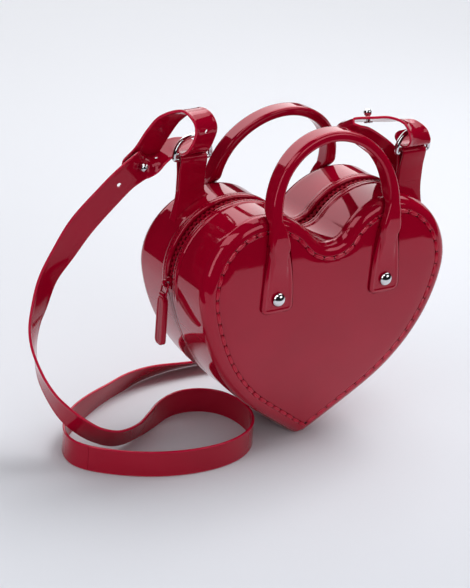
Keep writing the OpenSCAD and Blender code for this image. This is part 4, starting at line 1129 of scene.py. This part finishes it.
RUN = np.array([
    [-0.61, 0.131, 0.96, -0.63, 0.01, 0.77], [-0.662, 0.143, 0.905, -0.64, 0, 0.77],
    [-0.743, 0.171, 0.8, -0.7, 0.03, 0.71], [-0.795, 0.195, 0.7, -0.83, -0.1, 0.55],
    [-0.843, 0.21, 0.605, -0.87, -0.33, 0.38], [-0.871, 0.214, 0.5, -0.8, -0.49, 0.36],
    [-0.885, 0.215, 0.424, -0.64, -0.62, 0.45], [-0.888, 0.2, 0.345, -0.46, -0.77, 0.44],
    [-0.88, 0.16, 0.267, -0.22, -0.81, 0.55], [-0.857, 0.117, 0.205, -0.08, -0.78, 0.63],
    [-0.829, 0.076, 0.162, 0, -0.61, 0.79], [-0.79, 0.046, 0.125, -0.07, -0.51, 0.86],
    [-0.738, 0.028, 0.088, -0.13, -0.52, 0.85], [-0.67, 0.017, 0.062, -0.23, -0.49, 0.84],
    [-0.59, 0.038, 0.05, -0.46, -0.45, 0.77], [-0.51, 0.083, 0, -0.52, -0.44, 0.73],
    [-0.44, 0.126, 0, -0.57, -0.35, 0.74], [-0.375, 0.16, 0, -0.5, -0.2, 0.85],
    [-0.31, 0.171, 0, -0.19, 0, 0.98], [-0.245, 0.155, 0, 0, 0, 1], [-0.195, 0.115, 0, 0, 0, 1],
    [-0.167, 0.057, 0, 0, 0, 1], [-0.16, -0.01, 0, 0, 0, 1], [-0.171, -0.072, 0, 0, 0, 1],
    [-0.203, -0.13, 0, 0, 0, 1], [-0.255, -0.176, 0, 0, 0, 1], [-0.325, -0.206, 0, 0, 0, 1],
    [-0.41, -0.217, 0, 0, 0, 1], [-0.505, -0.208, 0, 0, 0, 1], [-0.6, -0.181, 0, 0, 0, 1],
    [-0.685, -0.138, 0, 0, 0, 1], [-0.752, -0.09, 0, 0, 0, 1], [-0.8, -0.043, 0, 0, 0, 1],
    [-0.827, 0.005, 0, 0, 0, 1], [-0.831, 0.057, 0, 0, 0, 1], [-0.814, 0.114, 0, 0, 0, 1],
    [-0.776, 0.171, 0, 0, 0, 1], [-0.714, 0.229, 0, 0, 0, 1],
    [-0.638, 0.281, 0, 0.03, -0.1, 0.99], [-0.543, 0.333, 0, 0.08, -0.26, 0.96],
    [-0.429, 0.386, 0, -0.12, -0.39, 0.91], [-0.305, 0.428, 0, -0.25, -0.6, 0.76],
    [-0.171, 0.443, 0, -0.3, -0.74, 0.6], [-0.038, 0.438, 0, -0.2, -0.82, 0.52],
    [0.095, 0.428, 0, -0.05, -0.88, 0.45], [0.21, 0.418, 0, 0, -0.95, 0.3],
    [0.315, 0.404, 0, 0, -0.98, 0.15], [0.4, 0.382, 0.012, 0, -1, 0.05],
    [0.466, 0.352, 0.045, 0, -1, 0], [0.51, 0.314, 0.124, 0, -1, 0],
    [0.533, 0.271, 0.238, 0, -1, 0], [0.543, 0.224, 0.371, 0, -1, 0],
    [0.543, 0.181, 0.505, 0, -1, 0], [0.533, 0.138, 0.629, 0, -1, 0],
    [0.505, 0.095, 0.743, 0, -1, 0], [0.457, 0.048, 0.838, 0.1, -0.95, 0.1],
    [0.4, 0.005, 0.91, 0.25, -0.85, 0.35], [0.348, -0.024, 0.962, 0.4, -0.72, 0.52],
    [0.295, -0.04, 1.005, 0.44, -0.68, 0.58], [0.238, -0.048, 1.045, 0.44, -0.68, 0.58],
    [0.183, -0.05, 1.079, 0.4, -0.72, 0.55],
])
RIGHT_END = np.array([
    [-0.238, 0.048, 0.087, 0.3, -0.8, 0.5], [-0.257, 0.055, 0.101, 0.1, -0.87, 0.48],
    [-0.236, 0.062, 0.116, -0.15, -0.87, 0.45], [-0.171, 0.045, 0.119, -0.24, -0.88, 0.42],
    [-0.11, 0.026, 0.119, -0.33, -0.84, 0.42], [-0.062, 0.002, 0.112, -0.55, -0.8, 0.25],
    [-0.029, -0.021, 0.095, -0.78, -0.6, -0.18], [-0.01, -0.036, 0.067, -0.9, -0.25, -0.36],
    [-0.002, -0.033, 0.036, -0.98, 0.1, -0.13], [0, 0, 0.023, -1, 0, 0],
    [0, 0.033, 0.033, -1, 0, 0], [-0.002, 0.057, 0.057, -1, 0, 0],
])


def course():
    """Places of the strap's middle line and its across directions, resting on the floor."""
    middle = RUN[:, :3] * [HEART_W, HEART_W, RING_Z - STRAP_T]
    left = LEFT_END[:, :3] * HEART_W + [-RING_X, RING_Y, RING_Z]
    right = RIGHT_END[:, :3] * HEART_W + [RING_X, -RING_Y, RING_Z]
    place = np.concatenate([left, middle, right])
    across = np.concatenate([LEFT_END[:, 3:], RUN[:, 3:], RIGHT_END[:, 3:]])
    before = np.concatenate([place[:1], place[:-1]])
    after = np.concatenate([place[1:], place[-1:]])
    across = squared(across, unit(after - before))
    # a height of 0 means that the strap's lower side lies on the floor, however it is tilted
    tilt = np.abs(across[:, 2])
    rest = STRAP_W / 2 * tilt + STRAP_T / 2 * np.sqrt(1 - tilt ** 2) + 3 * SEAT
    place[:, 2] = np.where(place[:, 2] == 0, rest, place[:, 2])
    return place, across


def curve_through(points, u):
    """The Catmull-Rom curve through the points, at u steps from the first one.

    At each point it runs parallel to the line between the two neighbours of that point.
    """
    last = len(points) - 1
    i = np.clip(np.floor(u).astype(int), 0, last - 1)
    t = (u - i)[:, None]
    a, b = points[np.maximum(i - 1, 0)], points[i]
    c, d = points[i + 1], points[np.minimum(i + 2, last)]
    return (b + t * (c - a) / 2 + t ** 2 * (2 * a - 5 * b + 4 * c - d) / 2
            + t ** 3 * (3 * b - a - 3 * c + d) / 2)


STRAP_PLACE, STRAP_ACROSS = course()
LAST = len(STRAP_PLACE) - 1
# u counts the places of the course: here the two lengths meet, the studs sit and the holes are
SEAM_AT, SEAM_GAP = len(LEFT_END) + 32, 1 / 60
LEFT_STUD_AT, RIGHT_STUD_AT = len(LEFT_END) - 1, LAST - 8
LEFT_HOLES = [6, len(LEFT_END) - 3, len(LEFT_END) + 0.5]
RIGHT_HOLES = [LAST - 14]
PER_PLACE = 8                     # sections of the strap from one place to the next


def strap_frame(u):
    """Place, way, across and ball-side directions of the strap at each u."""
    place = curve_through(STRAP_PLACE, u)
    way = unit(curve_through(STRAP_PLACE, np.minimum(u + 1 / PER_PLACE, LAST))
               - curve_through(STRAP_PLACE, np.maximum(u - 1 / PER_PLACE, 0)))
    across = squared(curve_through(STRAP_ACROSS, u), way)
    return place, way, across, -np.cross(way, across)


def upright_on_strap(profile, steps, u):
    """A form spun about the strap's own upright at one place u."""
    place, _, across, out = (v[0] for v in strap_frame(np.array([u], float)))
    return stood(spun(np.array(profile), steps), place, out, across)


strap_line = curve_through(STRAP_PLACE, np.linspace(0, LAST, 2000))
print("strap is", round(lengths_along(strap_line)[-1]), "mm long")

# %% The strap's skin
EDGE_BEAD, EDGE_T, WEB_T, LOOSE_R = 1.1, 2.0, 1.5, STRAP_W * 0.28


def strap_profile(half_w):
    """Ring of points for each half width: a thin web between two thicker, rounded edges."""
    ring = rounded_box(half_w, EDGE_T / 2, EDGE_T * 0.45, steps=4, flats=13)
    # only the two broad sides sink in, over 0.9 mm beside each bead
    from_edge = half_w[:, None] - np.abs(ring[..., 0])
    thin = (EDGE_T - WEB_T) / 2 * ease((from_edge - EDGE_BEAD) / 0.9)
    ring[..., 1] -= np.sign(ring[..., 1]) * np.where(np.abs(ring[..., 1]) > 0.3, thin, 0)
    return ring


def strap_grid(start, end, loose_first):
    """Strap between two places and its uv, with the corners of its loose end rounded off."""
    u = np.linspace(start, end, round((end - start) * PER_PLACE) + 1)
    run = lengths_along(curve_through(STRAP_PLACE, u))
    # the round corners need sections closer together
    near = LOOSE_R * (1 - np.cos(np.linspace(0, np.pi / 2, 9)[:-1]))
    extra = np.interp(near if loose_first else run[-1] - near, run, u)
    place, way, across, _ = strap_frame(np.unique(np.concatenate([u, extra])))
    run = lengths_along(place)
    inside = np.maximum(LOOSE_R - (run if loose_first else run[-1] - run), 0)
    half_w = cornered(STRAP_W / 2, LOOSE_R, inside)
    ring = strap_profile(half_w)
    grid = (place[:, None] + across[:, None] * ring[..., :1]
            + np.cross(way, across)[:, None] * ring[..., 1:])
    side_to_side = 0.5 + ring[..., 0] / (2 * half_w[:, None])
    return capped(closed_rings(grid)), run_uv(run, closed_rings(side_to_side))


print("the strap is", WEB_T, "mm thick between its edges and", EDGE_T, "mm in them")

# %% [markdown]
# Holes are the one thing here that a grid can't have. A Boolean modifier cuts them with a rod,
# and the mesh that it leaves is read back through the dependency graph, which holds the scene
# as its modifiers make it.

# %% Holes, and the two lengths of the strap
def punched(name, mesh, places):
    """The mesh with a round hole through the strap at each place."""
    rod = [[0, -4.0], [HOLE_R, -4], [HOLE_R, 4], [0, 4]]
    cuts = sewn(name + "_cutter", [upright_on_strap(rod, 24, u) for u in places])
    body = in_scene(bpy.data.objects.new(name, mesh))
    cutter = in_scene(bpy.data.objects.new(name + "_cutter", cuts))
    cut = body.modifiers.new("holes", "BOOLEAN")
    cut.operation, cut.object, cut.solver = "DIFFERENCE", cutter, "EXACT"
    graph = bpy.context.evaluated_depsgraph_get()
    result = bpy.data.meshes.new_from_object(body.evaluated_get(graph))
    for thing in (body, cutter):
        bpy.data.objects.remove(thing)
    result.set_sharp_from_angle(angle=SHARP_FROM)
    return result


for name, start, end, holes in (("strap_left", 0, SEAM_AT - SEAM_GAP, LEFT_HOLES),
                                ("strap_right", SEAM_AT, LAST, RIGHT_HOLES)):
    grid, uv = strap_grid(start, end, loose_first=start == 0)
    mesh = punched(name, sewn(name + "_plain", [grid], [uv]), holes)
    place_piece(name, mesh, strap_red, [name + "_length"])

# %% Studs
POST_R, NECK_R, NECK_LOW = BALL_R / 2, BALL_R * 0.6, STRAP_T / 2 + 3 * SEAT
BASE_R, BASE_T, BASE_BORE = BALL_R * 1.1, BALL_R / 3, POST_R + 0.05
base_low = -STRAP_T / 2 - 8 * SEAT - BASE_T
base_top, soft = base_low + BASE_T, BASE_T * 0.3
ball_a = np.linspace(np.pi / 2, -math.acos(NECK_R / BALL_R), 20)
ball_line = arc((0, STRAP_T / 2 + SEAT + BALL_R * 1.25), BALL_R, ball_a)
STUD = {"ball": [*ball_line, (NECK_R, NECK_LOW), (POST_R, NECK_LOW), (POST_R, base_low),
                 (0, base_low)],
        "base": [(BASE_BORE, base_top), (BASE_R - soft, base_top), (BASE_R, base_top - soft),
                 (BASE_R, base_low + soft), (BASE_R - soft, base_low), (BASE_BORE, base_low),
                 (BASE_BORE, base_top)]}
for side, at in (("left", LEFT_STUD_AT), ("right", RIGHT_STUD_AT)):
    for part, profile in STUD.items():
        name = side + "_stud_" + part
        grid = upright_on_strap(profile, 32, at)
        place_piece(name + "_skin", sewn(name + "_skin", [grid]), chrome, [name])

# %% [markdown]
# ## Solids that keep their own shape
#
# Teeth, stops, the slider's plate and the rivets' inner parts are small and crisp in the source,
# so they stay as they are and only get a finish. A copy with the same flats would gain nothing.

# %% Finishes of the remaining solids
FINISH = {"front_zip_teeth": tooth_red, "back_zip_teeth": tooth_red,
          "zip_start_stop": tooth_red, "zip_end_stop": tooth_red, "zip_slider": small_red,
          "rivet_posts": chrome, "rivet_backs": chrome}
for name, material in FINISH.items():
    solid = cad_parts[name]
    solid.data.materials.clear()
    solid.data.materials.append(material)
print("solids shown as they are:", len(FINISH))

# %% [markdown]
# ## Studio
#
# Glossy plastic shows its surroundings, so the studio is built for its reflections. Rays that
# come straight from the camera see a pale floor and a pale room. Mirrored rays see the same
# room nearly black, with a few bright panels, and these panels draw the long highlights on rims
# and handles. All other rays only light the bag, and get a soft even glow from all sides.
# Photographers reach the same with black velvet and softboxes.

# %% Floor and flag
NEAR_TONE, FAR_TONE = (0.67, 0.69, 0.74), (0.90, 0.91, 0.95)
SEEN, MIRRORED = (0.8, 0.81, 0.86), (0.012, 0.012, 0.013)
AMBIENT, AMBIENT_GLOW = (0.97, 0.98, 1.0), 0.45
FLAG_UP = 0.002


def floor_material():
    """Pale matt paper with painted shade that darkens it a little towards the front, and a hardly
    visible mottle.
    """
    material, tree, shader = new_material("floor")
    place = node(tree, "TexCoord").outputs["Object"]
    back = node(tree, "SeparateXYZ", {"Vector": place}).outputs["Y"]
    # painted shade: the floor's colour darkens towards the front, from the far tone to the near
    # one
    depth = node(tree, "MapRange", {"Value": back, "From Min": -0.4, "From Max": 1.2})
    mottle = node(tree, "TexNoise", {"Vector": place, "Scale": 3.0, "Detail": 2.0})
    both = node(tree, "Math", {0: mottle.outputs["Fac"], 1: 0.06, 2: depth.outputs["Result"]},
                operation="MULTIPLY_ADD")
    feed(tree, shader, {
        "Roughness": 0.8, "Specular IOR Level": 0.1,
        "Base Color": ramp(tree, both.outputs[0], (0.0, NEAR_TONE), (1.0, FAR_TONE))})
    return material


def velvet_material():
    """As dark as the room that the plastic mirrors."""
    material, tree, shader = new_material("flag")
    feed(tree, shader, {"Base Color": rgba(MIRRORED), "Specular IOR Level": 0})
    return material


def sheet(name, left, right, front, back, up, material):
    """A level rectangle, with its sides given in metres."""
    corners = np.array([[left, front, up], [right, front, up], [right, back, up],
                        [left, back, up]])
    mesh = quad_mesh(name, corners / MM, np.array([[0, 1, 2, 3]]))
    mesh.materials.append(material)
    return in_scene(bpy.data.objects.new(name, mesh))


floor = sheet("floor", -1.0, 6.0, -0.68, 6.0, 0, floor_material())
# only mirrored rays meet the flag, just above the floor: it darkens the bag's left flank
flag = sheet("flag", -1.0, -0.37, -0.2, 2.0, FLAG_UP, velvet_material())
flag.visible_camera = flag.visible_diffuse = flag.visible_shadow = False
print("floor", [round(v, 1) for v in floor.dimensions], "m")

# %% The room, seen and mirrored
world = bpy.data.worlds.new("room")
scene.world = world
world.use_nodes = True
room = world.node_tree
room.nodes.clear()
ray = node(room, "LightPath").outputs


def room_light(colour, strength=1.0):
    """A background of one colour all round."""
    return node(room, "Background", {"Color": rgba(colour), "Strength": strength}).outputs[0]


def split_rays(kind, others, chosen):
    """The chosen light for rays of a kind, and another one for all others."""
    return node(room, "MixShader", {"Fac": ray[kind], 1: others, 2: chosen}).outputs[0]


glow = room_light(AMBIENT, AMBIENT_GLOW)
unseen = split_rays("Is Glossy Ray", glow, room_light(MIRRORED))
node(room, "OutputWorld", {"Surface": split_rays("Is Camera Ray", unseen, room_light(SEEN))})
print("nodes of the room:", len(room.nodes))


# %% Lamps and panels
def softbox(name, place, aim, width, height, glow, lights=True, mirrored=True):
    """A rectangular lamp that faces a point, with the same glow all over its face.

    Its power is glow times pi times its area, so a larger panel isn't a dimmer one. A lamp that
    lights but isn't mirrored stands for the many small reflectors of a studio.
    """
    data = bpy.data.lights.new(name, "AREA")
    data.shape, data.size, data.size_y = "RECTANGLE", width, height
    data.energy = glow * math.pi * width * height
    lamp = in_scene(bpy.data.objects.new(name, data))
    face = (Vector(aim) - Vector(place)).to_track_quat("-Z", "Y").to_matrix().to_4x4()
    lamp.matrix_world = Matrix.Translation(place) @ face
    lamp.visible_diffuse, lamp.visible_glossy = lights, mirrored
    return lamp


BAG_MIDDLE = (0, 0, 0.1)
# name, place and aim in metres, width, height, glow
lamps = [
    softbox("key", (5.2, 1.0, 7.1), BAG_MIDDLE, 4.0, 4.0, 6.8, mirrored=False),
    softbox("front_fill", (0.2, -2.4, 0.6), BAG_MIDDLE, 1.4, 0.8, 3.5, mirrored=False),
    softbox("left_fill", (-2.4, -0.3, 0.6), BAG_MIDDLE, 1.2, 0.8, 4.0, mirrored=False),
    softbox("overhead", (0.5, 0.17, 1.0), BAG_MIDDLE, 0.8, 0.9, 2.1),
    softbox("top_left_panel", (-0.42, -0.2, 1.08), BAG_MIDDLE, 0.9, 0.34, 2.4, lights=False),
    softbox("back_panel", (0.2, 0.5, 0.635), (0.2, 0.1, 0.2), 1.12, 0.76, 2.4, lights=False),
    softbox("side_panel", (1.16, 0.45, 0.45), (0.3, 0, 0.2), 0.5, 0.35, 1.4, lights=False),
    softbox("front_panel", (0.65, -1.0, 0.95), (0, 0, 0.2), 0.9, 0.5, 2.2, lights=False),
    softbox("left_panel", (-1.1, -0.5, 0.9), BAG_MIDDLE, 0.45, 1.0, 2.6, lights=False),
]
scene.view_settings.view_transform = "Standard"
print("lamps and panels:", len(lamps))
